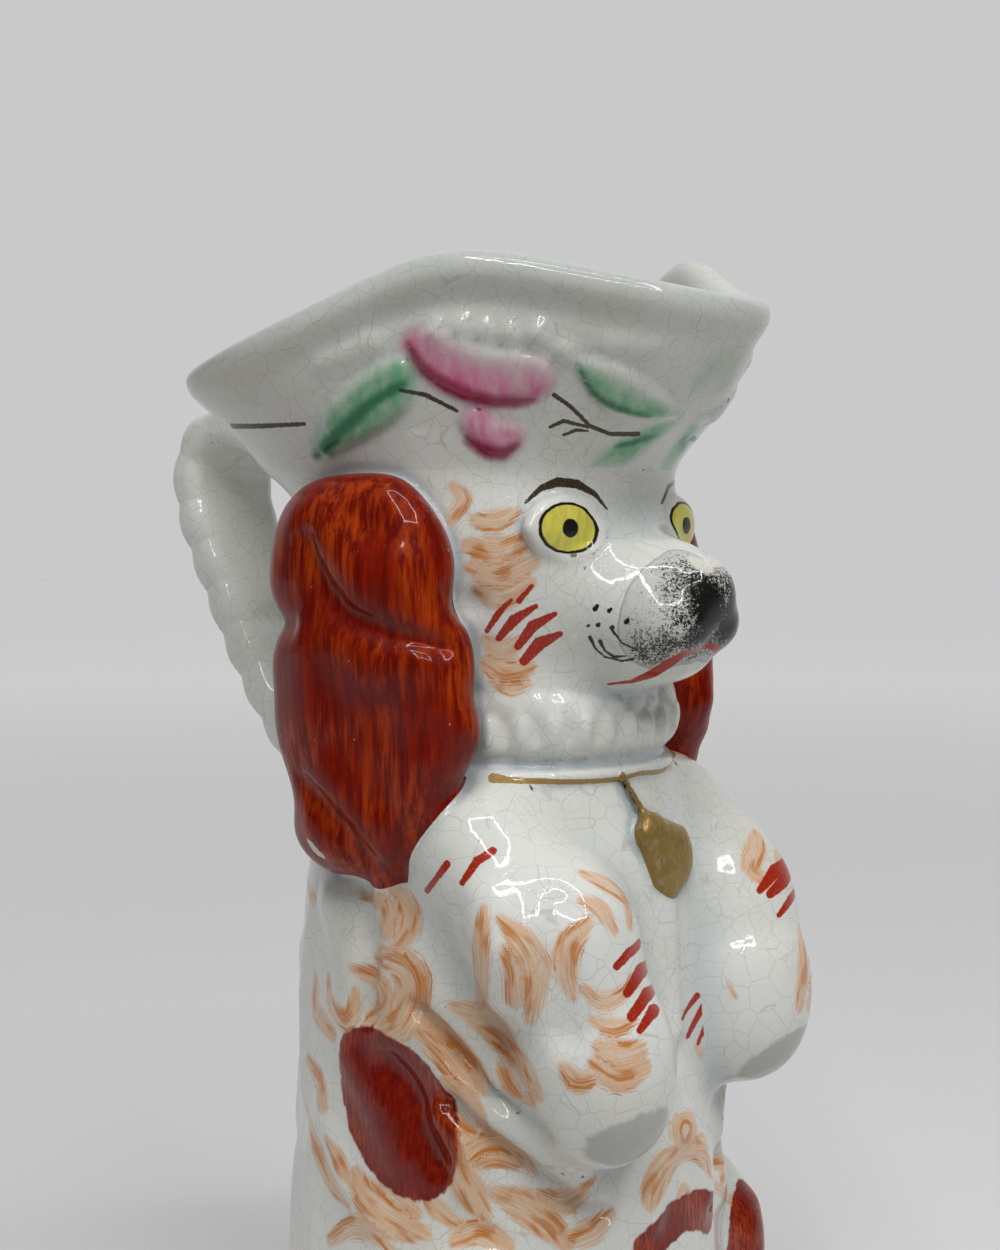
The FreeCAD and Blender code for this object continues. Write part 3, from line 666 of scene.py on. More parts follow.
BODY_RELIEF = ridges([
    (3, [(436, 1000, 3.2), (470, 1030, 3.6), (500, 1070, 3.6), (520, 1096, 2.6)]),
    (-3.2, [(424, 1008, 2.4), (456, 1050, 2.6), (494, 1096, 2.6), (540, 1130, 2.2)]),
    (2.6, [(420, 1030, 2.8), (450, 1072, 3.2), (486, 1108, 3.2), (520, 1130, 2.4)]),
    (2.7, [(470, 1085, 3.4), (510, 1120, 3.8), (560, 1160, 3.8), (590, 1190, 3)]),
    (-2.6, [(455, 1100, 2.6), (500, 1145, 2.8), (550, 1190, 2.8), (600, 1215, 2.2)]),
    (2.2, [(440, 1120, 3.4), (480, 1165, 3.8), (530, 1205, 3.8), (600, 1240, 3.2)]),
    (2.3, [(470, 1190, 3.4), (520, 1230, 3.8), (580, 1260, 3.8)]),
    (1.7, [(330, 900, 4), (350, 960, 4.6), (346, 1010, 4)]),
    (1.7, [(386, 890, 4), (398, 940, 4), (384, 985, 3.6)]),
    (-1.8, [(362, 890, 3), (374, 960, 3), (366, 1010, 3)]),
    (1.7, [(420, 970, 3.8), (414, 1010, 4.2), (392, 1046, 4.2)]),
    (1.4, [(350, 1060, 4.2), (380, 1110, 4.6), (400, 1160, 4.2)]),
    (-1.8, [(392, 1060, 3), (420, 1110, 3), (436, 1160, 3)]),
    (1.4, [(330, 1130, 3.6), (345, 1180, 4), (380, 1225, 4)]),
    (1.9, [(480, 900, 4.2), (492, 950, 5), (500, 1000, 4)]),
    (-1.8, [(560, 905, 3.6), (556, 960, 4), (562, 1030, 4)]),
    (1.3, [(700, 1060, 2.4), (706, 1110, 2.4), (704, 1180, 2.4)]),
    (1.7, [(676, 1130, 3.2), (660, 1170, 3.6), (650, 1220, 3.2)]),
    (1.6, [(496, 690, 5), (540, 706, 5), (580, 716, 5)]),
    (1.4, [(700, 850, 2.6), (714, 900, 3), (708, 970, 3), (698, 1040, 2.6)]),
    (-1.4, [(688, 860, 2), (694, 920, 2.2), (690, 990, 2.2), (682, 1060, 2)]),
    (1, [(668, 900, 2.4), (676, 960, 2.6), (676, 1030, 2.4)]),
])

HAT_RELIEF = ridges([
    (0.5, [(529, 529, 1.3), (539, 508, 1.3), (565, 498, 1.3), (591, 508, 1.3), (601, 529, 1.3)]),
    (0.5, [(601, 529, 1.3), (591, 550, 1.3), (565, 560, 1.3), (539, 550, 1.3), (529, 529, 1.3)]),
    (1.5, [(436, 330, 2.3), (437, 331, 2)]),
    (1.5, [(460, 329, 2.3), (461, 330, 2)]),
    (1.5, [(484, 332, 2.3), (485, 333, 2)]),
    (1.5, [(509, 335, 2.3), (510, 336, 2)]),
    (1.5, [(537, 336, 2.3), (538, 337, 2)]),
    (1.5, [(564, 352, 2.3), (565, 354, 2)]),
    (0.7, [(320, 360, 2.6), (345, 352, 2.6)]),
    (0.8, [(366, 340, 3), (372, 346, 3)]),
    (0.6, [(610, 345, 2.4), (650, 348, 2.4)]),
    (-0.4, [(330, 448, 0.9), (360, 425, 0.9), (400, 385, 0.9)]),
])

WRAPPED_RELIEF = ridges([
    (1.2, [(150, 128, 4), (140, 112, 4.6), (144, 94, 4)]),
    (1.2, [(128, 120, 4), (120, 100, 4.6), (126, 84, 4)]),
    (1.1, [(160, 96, 4), (152, 80, 4.6), (156, 62, 4)]),
    (1.1, [(136, 76, 4), (126, 58, 4.6), (132, 40, 4)]),
    (1.1, [(112, 92, 4), (104, 72, 4.6), (110, 54, 4)]),
    (1, [(108, 46, 4), (100, 30, 4.6), (106, 16, 4)]),
    (1, [(94, 118, 3.6), (96, 96, 4.2), (92, 76, 3.6)]),
    (1, [(146, 40, 4), (140, 24, 4.4), (146, 12, 3.6)]),
    (1.1, [(222, 62, 3.6), (232, 48, 4.4), (238, 34, 4)]),
], kind=WrappedLine)

RELIEF = EAR_RELIEF + BODY_RELIEF + HAT_RELIEF + WRAPPED_RELIEF


def relief(p):
    """Height of the fine relief at the points."""
    height = np.zeros(len(p))
    for line in RELIEF:
        width = line.radii.mean()
        near = line.near(p, 2.4 * width)
        if len(near):
            away = line.distance(p[near])[0] + width
            height[near] += line.height * np.exp(-((away / width) ** 2))
    return height


def fields(p):
    """The finished form's distance field, and each piece's own."""
    whole, own = plain_fields(p)
    sprigs = sprig_fields(p, own["core"])
    for value in sprigs.values():
        whole = soft_min(whole, value, 0.8)
    own.update(sprigs)
    return whole - relief(p), own


trace_lines(plain_fields)


# Paint: washes and brushed curls on the surface, kept on the meshes as distances

WASHES = {
    "russet": lines([
        [(352, 1052, 4.2), (372, 1076, 9.6), (390, 1110, 13.4), (410, 1146, 10.5), (426, 1176, 4.6)],
        [(700, 1204, 3), (672, 1222, 4), (650, 1246, 4)],
    ])
    + lines([[(748, 1196, 4), (754, 1226, 8), (752, 1262, 8)]], paired=False)
    + lines([
        [(126, 104, 3), (116, 90, 7), (112, 72, 8), (118, 60, 4)],
        [(100, 46, 4), (92, 34, 6.5), (98, 20, 4)],
    ], kind=WrappedLine),
    "grey": lines([[(610, 1150, 4.8), (632, 1146, 6.4), (652, 1136, 5.6)]], paired=False)
    + lines([[(800, 1044, 4.8), (780, 1058, 5), (762, 1070, 4.6)]], paired=False)
    + lines([[(238, 6, 8), (250, 8, 8)]], kind=WrappedLine),
    "chip": lines([[(309, 842, 0.8), (315, 850, 1.3), (322, 856, 0.8)]], paired=False),
    "muzzle": lines([[(682, 566, 4.6), (664, 602, 7.4), (652, 642, 6.6), (684, 640, 7.4), (720, 620, 10)]]),
    "black": lines([[(703, 582, 2.8), (710, 606, 5.4), (708, 632, 4.4), (676, 646, 0.8), (650, 656, 0.2)]]),
    "bald": lines([[(690, 558, 0.8), (698, 562, 1.6), (708, 568, 1.4)]]),
    "pink": lines([
        [(416, 346, 3), (440, 362, 4.6), (480, 382, 4.6), (532, 380, 4.2)],
        [(478, 424, 3), (494, 440, 3.6), (508, 438, 3)],
    ]),
    "crimson": lines([
        [
            (408, 344, 0.6), (424, 370, 1.4), (452, 389, 1.6),
            (484, 400, 1.5), (514, 402, 1.3), (534, 400, 0.8),
        ],
        [(468, 440, 1), (486, 451, 1.6), (504, 453, 1.5), (516, 446, 0.9)],
    ]),
    "green": lines([
        [(322, 448, 2.6), (350, 422, 4.6), (384, 396, 5), (398, 372, 3)],
        [(588, 374, 1.4), (610, 394, 2.6), (648, 410, 2.2), (680, 414, 0.8)],
        [(606, 462, 3), (632, 448, 3.6), (658, 430, 2.6), (680, 418, 1)],
        [(704, 380, 2.6), (718, 364, 3.2), (730, 356, 2)],
    ]),
    "dark_green": lines([
        [(316, 456, 1), (338, 434, 1.3), (370, 404, 1.2), (404, 383, 0.8)],
        [(579, 366, 0.4), (592, 392, 0.8), (616, 408, 1), (648, 417, 0.6)],
        [(618, 446, 0.5), (636, 442, 1), (654, 436, 0.6)],
    ]),
}

CURLS = lines([
    [(388, 884, 1.2), (408, 904, 2.9), (408, 926, 3.4), (396, 946, 1.5)],
    [(364, 896, 1.2), (386, 906, 2.7), (384, 930, 2.7)],
    [(380, 956, 2.4), (405, 968, 4.1), (413, 992, 4.6), (402, 1020, 4.4), (376, 1038, 2)],
    [(352, 968, 1.2), (376, 980, 2.9), (382, 1004, 3.2), (366, 1026, 1.5)],
    [(329, 976, 1.2), (331, 1004, 2.7), (343, 1020, 2.9), (353, 1010, 2.2), (354, 990, 1)],
    [(316, 978, 1.5), (316, 1010, 2.9), (332, 1034, 2.4)],
    [(484, 908, 1.2), (480, 944, 2.9), (480, 984, 3.2), (486, 1014, 1.2)],
    [(500, 918, 1.2), (524, 944, 3.2), (536, 974, 3.4), (529, 1022, 1.2)],
    [(502, 948, 1), (512, 968, 2.4), (514, 1000, 2.2)],
    [(418, 1006, 1.5), (440, 1022, 3.4), (464, 1046, 3.7), (480, 1070, 3.2), (484, 1092, 1.2)],
    [(414, 1030, 1.2), (438, 1050, 2.9), (462, 1078, 2.7), (478, 1094, 1)],
    [(452, 1006, 1.2), (486, 1018, 3.2), (508, 1040, 3.7), (524, 1070, 3.7), (540, 1096, 1.5)],
    [(500, 1064, 1.2), (510, 1086, 2.9), (526, 1102, 2.4), (538, 1092, 1.2)],
    [(444, 1080, 1.5), (460, 1096, 3.2), (478, 1116, 2.4), (490, 1132, 1)],
    [(448, 1106, 1.5), (462, 1126, 2.9), (478, 1136, 1.2)],
    [(462, 1162, 1.2), (480, 1146, 2.9), (504, 1144, 2.9), (522, 1156, 2.2), (536, 1174, 1)],
    [(470, 1168, 1), (492, 1158, 2.2), (516, 1164, 1.7)],
    [(454, 1140, 1.7), (456, 1164, 3.7), (468, 1190, 4.1), (486, 1218, 1.7)],
    [(356, 1172, 1.7), (366, 1198, 4.1), (392, 1220, 4.1), (426, 1236, 1.5)],
    [(378, 1168, 1.5), (394, 1192, 3.2), (416, 1214, 1.7)],
    [(306, 1108, 1), (318, 1150, 2.7), (332, 1184, 2.9), (348, 1206, 1.2)],
    [(326, 1138, 1.2), (338, 1162, 2.4), (350, 1184, 1.2)],
    [(418, 1184, 1), (438, 1210, 2.2), (472, 1232, 1)],
    [(330, 1240, 1.7), (352, 1226, 2.9), (376, 1234, 2.4), (392, 1250, 1.5)],
    [(494, 1192, 1.7), (524, 1206, 3.7), (548, 1224, 3.4), (566, 1244, 2)],
    [(303, 872, 1), (314, 900, 2)],
    [(308, 1060, 1.5), (318, 1080, 2.9), (322, 1104, 2.4)],
    [(456, 1240, 2), (480, 1232, 2.9), (504, 1246, 2.4)],
    [(584, 874, 1.5), (606, 884, 2.9), (626, 900, 2.7), (630, 926, 1.5)],
    [(582, 900, 1.2), (602, 910, 2.4), (614, 930, 1.5)],
    [(588, 922, 1.5), (570, 944, 2.9), (566, 970, 2.7), (573, 1000, 1)],
    [(584, 988, 1.2), (602, 1002, 2.2), (624, 992, 1.7), (632, 976, 1)],
    [(592, 1020, 1.2), (614, 1028, 2.4), (634, 1020, 1.2)],
    [(598, 1046, 1.5), (620, 1056, 3.2), (642, 1048, 1.7)],
    [(598, 1064, 2.2), (620, 1076, 3.7), (644, 1068, 2.2)],
    [(562, 1066, 1.2), (576, 1082, 2.7), (592, 1080, 1.5)],
    [(540, 1194, 1.5), (566, 1202, 2.9), (594, 1178, 1.2)],
    [(560, 1240, 1.7), (590, 1232, 2.9), (612, 1212, 1.2)],
    [(690, 1112, 1.2), (678, 1128, 2.7), (682, 1148, 2)],
    [(690, 1146, 1.7), (668, 1166, 3.7), (654, 1190, 3.2), (650, 1208, 1.2)],
    [(690, 1176, 1.2), (682, 1196, 2.2)],
    [(474, 520, 1.5), (496, 522, 2.7), (520, 510, 1)],
    [(469, 545, 2), (496, 552, 3.4), (526, 541, 2)],
    [(472, 568, 2), (500, 576, 3.4), (532, 562, 2)],
    [(480, 590, 2), (502, 598, 3.2), (530, 582, 1.7)],
    [(486, 640, 1.5), (502, 650, 2.9), (520, 640, 1.5)],
    [(488, 664, 2), (506, 674, 3.4), (528, 668, 2)],
    [(496, 683, 1.2), (512, 689, 2), (528, 684, 1)],
    [(452, 486, 1.2), (464, 500, 2), (450, 520, 1.5)],
]) + lines([
    [(800, 925, 1.7), (804, 965, 2.9), (800, 1005, 2)],
    [(770, 826, 1.5), (786, 840, 2.4), (796, 858, 1.2)],
    [(727, 984, 0.6), (734, 996, 0.9)],
    [(696, 1046, 1), (702, 1056, 1.2)],
    [(724, 1092, 1), (728, 1130, 2), (722, 1180, 1.5)],
    [(716, 1186, 1.5), (736, 1200, 2)],
], paired=False) + lines([
    [(126, 134, 1.5), (118, 126, 4.1), (120, 114, 3.9), (128, 108, 1.5)],
    [(108, 128, 1.7), (100, 118, 4.4), (104, 106, 4.1), (114, 102, 1.7)],
    [(96, 104, 1.5), (90, 94, 4.1), (94, 82, 3.7)],
    [(128, 64, 1.5), (120, 54, 4.1), (124, 42, 3.9), (132, 38, 1.5)],
    [(110, 58, 1.5), (102, 48, 4.1), (106, 36, 3.7)],
    [(126, 34, 1.5), (118, 24, 4.1), (124, 14, 3.2)],
    [(98, 16, 1.2), (92, 10, 2.9), (98, 5, 1.7)],
    [(150, 26, 1.5), (158, 16, 3.9), (168, 10, 2.4)],
    [(190, 20, 1.5), (200, 12, 3.7), (212, 8, 2.2)],
    [(166, 58, 1.5), (158, 48, 4), (162, 36, 3.8), (170, 32, 1.5)],
    [(186, 52, 1.5), (178, 43, 4.2), (182, 31, 3.9), (190, 27, 1.5)],
    [(206, 50, 1.5), (198, 40, 4), (203, 28, 3.7)],
    [(222, 34, 1.4), (214, 26, 3.6), (218, 17, 3.2)],
    [(148, 48, 1.4), (141, 38, 3.8), (145, 27, 3.4)],
], kind=WrappedLine)

FACE_INKS = {
    "brow": strokes([
        [(662, 503, 0.35), (669, 486, 0.5), (678, 480, 0.5), (685, 484, 0.3)],
        [
            (525, 503, 0.25), (541, 488, 0.6), (558, 482, 0.95),
            (577, 484, 0.9), (595, 494, 0.5), (607, 509, 0.2),
        ],
    ], paired=False),
    "red": strokes([
        [(487, 631, 0.5), (498, 614, 0.7), (511, 600, 0.35)],
        [(499, 638, 0.7), (514, 620, 1.1), (536, 606, 0.45)],
        [(518, 646, 0.8), (533, 626, 1.15), (555, 614, 0.5)],
        [(524, 661, 0.9), (539, 644, 1.35), (560, 634, 0.6)],
        [(519, 601, 0.6), (532, 586, 0.4)],
    ]),
    "whisker": strokes([
        [(595, 609, 0.5), (597, 606, 0.4)],
        [(609, 611, 0.45), (611, 609, 0.3)],
        [(598, 625, 0.45), (599, 624, 0.3)],
        [(588, 626, 0.3), (589, 625, 0.2)],
        [(612, 628, 0.5), (613, 627, 0.35)],
        [(626, 622, 0.5), (628, 620, 0.35)],
        [(590, 637, 0.4), (595, 648, 0.2), (605, 657, 0.22), (622, 661, 0.22), (633, 659, 0.3)],
        [(600, 641, 0.4), (605, 651, 0.2), (614, 657, 0.35), (626, 656, 0.15)],
        [(612, 630, 0.3), (622, 643, 0.2), (637, 650, 0.25)],
    ]),
    "mouth": strokes([[
        (604, 685, 0.2), (630, 682, 0.5), (652, 674, 1), (668, 664, 1.05),
        (684, 654, 0.7), (706, 645, 0.5), (728, 641, 0.4),
    ]]),
}
COLLAR_STROKES = strokes([[
    (493, 778, 0.95), (508, 780, 0.6), (560, 782, 0.55),
    (612, 780, 0.55), (642, 773, 0.5), (662, 766, 0.45),
]])
SHOULDER_STROKES = strokes([
    [(447, 864, 0.7), (427, 891, 0.6)],
    [(493, 851, 0.7), (477, 861, 0.8), (462, 883, 0.55)],
])
BODY_INKS = {
    "gilt": COLLAR_STROKES,
    "brow": FACE_INKS["brow"],
    "red": FACE_INKS["red"]
    + SHOULDER_STROKES
    + strokes([
        [(697, 996, 0.7), (683, 1018, 0.5)],
        [(704, 1006, 0.8), (688, 1036, 0.6)],
        [(709, 1018, 0.7), (698, 1044, 0.4)],
    ], paired=False),
}
LEG_INKS = {
    "gilt": COLLAR_STROKES,
    "red": SHOULDER_STROKES
    + strokes([
        [(639, 944, 0.9), (628, 954, 1), (617, 966, 0.8)],
        [(648, 954, 1.1), (640, 972, 1.5), (628, 992, 1)],
        [(655, 978, 1), (646, 995, 1.3), (632, 1016, 1)],
        [(658, 996, 0.9), (652, 1012, 1.2), (640, 1030, 0.7)],
        [(787, 860, 1), (774, 872, 1.5), (760, 890, 0.8)],
        [(794, 868, 1.2), (784, 880, 1.6), (770, 894, 0.9)],
        [(799, 888, 0.9), (790, 900, 1), (779, 915, 0.6)],
    ], paired=False),
}
HAT_INKS = {
    "stem": strokes([
        [(232, 426, 0.6), (262, 426, 0.5), (304, 424, 0.4)],
        [(400, 390, 0.35), (426, 395, 0.45), (457, 411, 0.35)],
        [(554, 395, 0.45), (570, 406, 0.4), (590, 426, 0.4), (610, 434, 0.4), (638, 434, 0.5)],
        [(550, 427, 0.3), (564, 421, 0.4), (588, 427, 0.3)],
        [(564, 435, 0.3), (576, 430, 0.35), (588, 431, 0.2)],
    ]),
}


WASH_REACH, CURL_REACH, POOL_REACH = 14.0, 6.0, 2.0
HAIR_SHIFT = 7.0


def set_paint(mesh, p, normals):
    """Store each wash's depth, the curls' depth and hair direction, and how far glaze pools in hollows,
    which also sets painted shade there.
    """
    count = len(p)
    for word, chains in WASHES.items():
        depth = np.full(count, -WASH_REACH)
        for line in chains:
            near = line.near(p, WASH_REACH)
            if len(near):
                depth[near] = np.maximum(depth[near], -line.distance(p[near])[0])
        mesh.attributes.new(word, "FLOAT", "POINT").data.foreach_set("value", depth)
    depth, hair = np.full(count, -CURL_REACH), np.zeros((count, 3))
    for i, line in enumerate(CURLS):
        near = line.near(p, CURL_REACH)
        if len(near):
            value, across, along = line.distance(p[near])
            better = -value > depth[near]
            depth[near[better]] = -value[better]
            strand = np.stack([across, along, np.full(len(near), HAIR_SHIFT * i)], axis=1)
            hair[near[better]] = strand[better]
    mesh.attributes.new("curl", "FLOAT", "POINT").data.foreach_set("value", depth)
    mesh.attributes.new("hair", "FLOAT_VECTOR", "POINT").data.foreach_set("vector", hair.ravel())
    # How hollow the surface is here: it drives pooled glaze and painted shade in the glaze colour
    pool_and_shade = in_chunks(lambda q: fields(q)[:1], p + POOL_REACH * normals)[0]
    mesh.attributes.new("pool_and_shade", "FLOAT", "POINT").data.foreach_set("value", 1 - pool_and_shade / POOL_REACH)


# Meshing: each piece is the part of the whole form that lies in its own region

VOXEL = 0.8 * FINENESS
BLOCK = 4
OVERLAP = 0.03


def region(name, own, p):
    """The piece's region score at the points: negative inside it."""
    members = np.full(len(p), 1e3)
    for other, value in own.items():
        if other not in (name, "core"):
            members = np.minimum(members, value)
    if name in own:
        return own[name] - np.minimum(members, own["core"])
    score = own["core"] - members
    if name == "base_slab":
        return np.maximum(score, p[:, 2] - FLOOR)
    if name == "hat":
        return np.maximum(score, BROW - p[:, 2])
    side = 1 if name == "left_body_shell" else -1
    score = np.maximum(score, -side * p[:, 0])
    return np.maximum(score, np.maximum(FLOOR - p[:, 2], p[:, 2] - BROW))


def sampled(name, p):
    """The whole form's distance and the piece's region score at the points."""
    whole, own = fields(p)
    return whole, region(name, own, p) - OVERLAP


def in_chunks(job, p, size=400000):
    """A job's results on many points, a part of them at a time."""
    parts = [job(p[i : i + size]) for i in range(0, len(p), size)]
    return [np.concatenate(part) for part in zip(*parts)]


def lattice(low, high):
    """Whole steps of the voxel that cover a box, in whole blocks."""
    start = np.floor(np.asarray(low) / VOXEL).astype(int) - 2
    blocks = np.ceil((np.asarray(high) / VOXEL + 2 - start) / BLOCK).astype(int)
    return start, blocks


def piece_values(name, low, high):
    """The piece's field on its lattice, worked out only near its faces."""
    start, blocks = lattice(low, high)
    grid = np.stack(np.meshgrid(*(np.arange(n) for n in blocks), indexing="ij"), axis=-1)
    middles = (start + grid.reshape(-1, 3) * BLOCK + (BLOCK - 1) / 2) * VOXEL
    whole, score = in_chunks(lambda q: sampled(name, q), middles)
    reach = 0.866 * BLOCK * VOXEL * 1.2
    near = (whole < reach) & (score < 2 * reach) & ((whole > -reach) | (score > -2 * reach))
    coarse = np.where(np.maximum(whole, score) > 0, 9.0, -9.0).reshape(blocks)
    values = np.repeat(np.repeat(np.repeat(coarse, BLOCK, 0), BLOCK, 1), BLOCK, 2)
    cells = grid.reshape(-1, 3)[near] * BLOCK
    steps = np.stack(np.meshgrid(*[np.arange(BLOCK)] * 3, indexing="ij"), axis=-1).reshape(-1, 3)
    places = (cells[:, None, :] + steps[None, :, :]).reshape(-1, 3)
    whole, score = in_chunks(lambda q: sampled(name, q), (start + places) * VOXEL)
    values[places[:, 0], places[:, 1], places[:, 2]] = np.maximum(whole, score)
    return start, values


def surface_net(start, values):
    """One vertex in each cell that the surface crosses, and one quad round each crossed edge."""
    shape = np.array(values.shape)
    stride = np.array([shape[1] * shape[2], shape[2], 1])
    inside = values < 0
    total = np.zeros((int(shape.prod()), 4))
    quads = []
    for axis in range(3):
        first = [slice(1, -1)] * 3
        second = [slice(1, -1)] * 3
        second[axis] = slice(2, None)
        change = inside[tuple(first)] != inside[tuple(second)]
        at = np.argwhere(change) + 1
        here = at @ stride
        a, b = values.ravel()[here], values.ravel()[here + stride[axis]]
        place = at.astype(float)
        place[:, axis] += a / (a - b)
        u, v = (axis + 1) % 3, (axis + 2) % 3
        corners = [here, here - stride[u], here - stride[u] - stride[v], here - stride[v]]
        for corner in corners:
            for column in range(3):
                total[:, column] += np.bincount(corner, place[:, column], len(total))
            total[:, 3] += np.bincount(corner, minlength=len(total))
        ring = np.stack(corners, axis=1)
        quads.append(np.where((a < 0)[:, None], ring, ring[:, ::-1]))
    quads = np.concatenate(quads)
    used = np.flatnonzero(total[:, 3])
    number = np.zeros(len(total), int)
    number[used] = np.arange(len(used))
    points = total[used, :3] / total[used, 3:]
    return (start + points) * VOXEL, number[quads]


def settled(name, p):
    """The vertices drawn on to the form, and on to the seam where they are at it."""

    def probe(q):
        return in_chunks(lambda part: probed(lambda r: sampled(name, r), part), q)

    touched = np.arange(len(p))
    for _ in range(2):
        f, r, df, dr = probe(p[touched])
        ff, rr, fr = (df * df).sum(1) + 1e-9, (dr * dr).sum(1) + 1e-9, (df * dr).sum(1)
        apart = ff * rr - fr * fr
        at_seam = np.abs(f - r / np.sqrt(rr)) < 0.75 * VOXEL
        outer = f > r / np.sqrt(rr)
        move = np.where(outer[:, None], -(f / ff)[:, None] * df, -(r / rr)[:, None] * dr)
        spread = np.maximum(apart, 0.05 * ff * rr)
        ka, kb = (f * rr - r * fr) / spread, (r * ff - f * fr) / spread
        both = -(ka[:, None] * df + kb[:, None] * dr)
        move = np.where((at_seam & (apart > 0.05 * ff * rr))[:, None], both, move)
        length = np.linalg.norm(move, axis=1, keepdims=True)
        p[touched] += move * np.minimum(1, 0.6 * VOXEL / np.maximum(length, 1e-9))
        touched = touched[at_seam]
    f, r, df, dr = probe(p)
    return p, np.abs(f) < 0.12 * VOXEL, df / np.linalg.norm(df, axis=1, keepdims=True)


def piece_mesh(name, low, high):
    """The piece's mesh, with the form's own normals on its faces and its paint in attributes."""
    start, values = piece_values(name, low, high)
    points, quads = surface_net(start, values)
    points, on_form, normals = settled(name, points)
    mesh = bpy.data.meshes.new(name)
    mesh.vertices.add(len(points))
    mesh.vertices.foreach_set("co", (points * MM).ravel())
    mesh.loops.add(quads.size)
    mesh.loops.foreach_set("vertex_index", quads.ravel())
    mesh.polygons.add(len(quads))
    mesh.polygons.foreach_set("loop_start", np.arange(0, quads.size, 4))
    mesh.update(calc_edges=True)
    mesh.validate()
    shown = on_form[quads].all(axis=1)
    a, b, c, d = (points[quads[:, i]] for i in range(4))
    flat = np.cross(c - a, d - b)
    flat /= np.maximum(np.linalg.norm(flat, axis=1, keepdims=True), 1e-12)
    corner = np.where(shown[:, None, None], normals[quads], flat[:, None, :])
    if len(mesh.loops) == quads.size:
        mesh.normals_split_custom_set(corner.reshape(-1, 3).tolist())
        set_paint(mesh, points, normals)
    return mesh


def placed(name, data):
    """A new object in the scene."""
    thing = bpy.data.objects.new(name, data)
    bpy.context.scene.collection.objects.link(thing)
    return thing


def add_piece(name, low, high, material):
    mesh = piece_mesh(name, low, high)
    piece = placed(f"glazed_{name}", mesh)
    mesh.materials.append(material)
    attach(piece, "root")
    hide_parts(name)


# Materials

# The cool glaze colour stands for pooled glaze and painted shade in hollows
GLAZE_LIGHT, GLAZE_POOLED_AND_SHADED, GLAZE_WARM = (0.70, 0.71, 0.67, 1), (0.40, 0.46, 0.48, 1), (0.60, 0.57, 0.48, 1)
# The hat's glaze tint is painted shade, laid over the hat's upper part
HAT_PAINTED_SHADE = (0.46, 0.47, 0.42, 1)
CRAZE_TINT = (0.24, 0.23, 0.21, 1)
BARE_GLAZE, BARE_CLAY, RUBBED = (0.70, 0.68, 0.62, 1), (0.66, 0.64, 0.58, 1), (0.5, 0.30, 0.2, 1)
RUSSET_DARK, RUSSET, RUSSET_THIN = (0.11, 0.003, 0.001, 1), (0.25, 0.010, 0.001, 1), (0.52, 0.075, 0.005, 1)
ORANGE_LIGHT, ORANGE_DEEP = (0.70, 0.39, 0.16, 1), (0.52, 0.175, 0.025, 1)
RED_INK, BROWN_INK, BLACK_INK = (0.36, 0.018, 0.003, 1), (0.05, 0.032, 0.018, 1), (0.010, 0.009, 0.008, 1)
GOLD_WORN, GOLD = (0.24, 0.16, 0.045, 1), (0.33, 0.21, 0.06, 1)
PINK, CRIMSON = (0.56, 0.09, 0.24, 1), (0.27, 0.004, 0.045, 1)
GREEN, DARK_GREEN = (0.12, 0.38, 0.19, 1), (0.006, 0.15, 0.06, 1)
GREY_WASH = (0.36, 0.36, 0.34, 1)
YELLOW, YELLOW_DEEP = (0.66, 0.60, 0.10, 1), (0.45, 0.39, 0.05, 1)


class Nodes:
    """Short calls that add nodes to a tree."""

    def __init__(self, tree):
        self.tree = tree

    def plug(self, socket, value):
        if isinstance(value, bpy.types.NodeSocket):
            self.tree.links.new(value, socket)
        else:
            socket.default_value = value

    def math(self, operation, a, b=0.0, c=0.0, clamp=False):
        node = self.tree.nodes.new("ShaderNodeMath")
        node.operation, node.use_clamp = operation, clamp
        for socket, value in zip(node.inputs, (a, b, c)):
            self.plug(socket, value)
        return node.outputs[0]

    def times(self, a, b):
        return self.math("MULTIPLY", a, b)

    def fit(self, value, scale, shift, clamp=False):
        return self.math("MULTIPLY_ADD", value, scale, shift, clamp)

    def vector(self, operation, a, b=(0, 0, 0), scale=1.0):
        node = self.tree.nodes.new("ShaderNodeVectorMath")
        node.operation = operation
        self.plug(node.inputs[0], a)
        if operation == "SCALE":
            self.plug(node.inputs["Scale"], scale)
        else:
            self.plug(node.inputs[1], b)
        return node.outputs["Value" if operation in ("LENGTH", "DOT_PRODUCT") else "Vector"]

    def smooth(self, value, low, high, at_low=0.0, at_high=1.0):
        """An eased step from one value to another, as the input goes from low to high."""
        node = self.tree.nodes.new("ShaderNodeMapRange")
        node.interpolation_type = "SMOOTHSTEP"
        for socket, entry in zip(node.inputs, (value, low, high, at_low, at_high)):
            self.plug(socket, entry)
        return node.outputs["Result"]

    def blend(self, a, b, share):
        node = self.tree.nodes.new("ShaderNodeMix")
        node.data_type = "RGBA"
        self.plug(node.inputs[0], share)
        self.plug(node.inputs[6], a)
        self.plug(node.inputs[7], b)
        return node.outputs[2]

    def noise(self, place, scale, detail=2.0, rough=0.5, output="Fac"):
        node = self.tree.nodes.new("ShaderNodeTexNoise")
        self.plug(node.inputs["Vector"], place)
        for socket, value in (("Scale", scale), ("Detail", detail), ("Roughness", rough)):
            node.inputs[socket].default_value = value
        return node.outputs[output]

    def cells(self, place, scale, feature="DISTANCE_TO_EDGE"):
        node = self.tree.nodes.new("ShaderNodeTexVoronoi")
        node.feature = feature
        self.plug(node.inputs["Vector"], place)
        node.inputs["Scale"].default_value = scale
        return node.outputs["Distance"]

    def attribute(self, name, output="Fac"):
        node = self.tree.nodes.new("ShaderNodeAttribute")
        node.attribute_name = name
        return node.outputs[output]


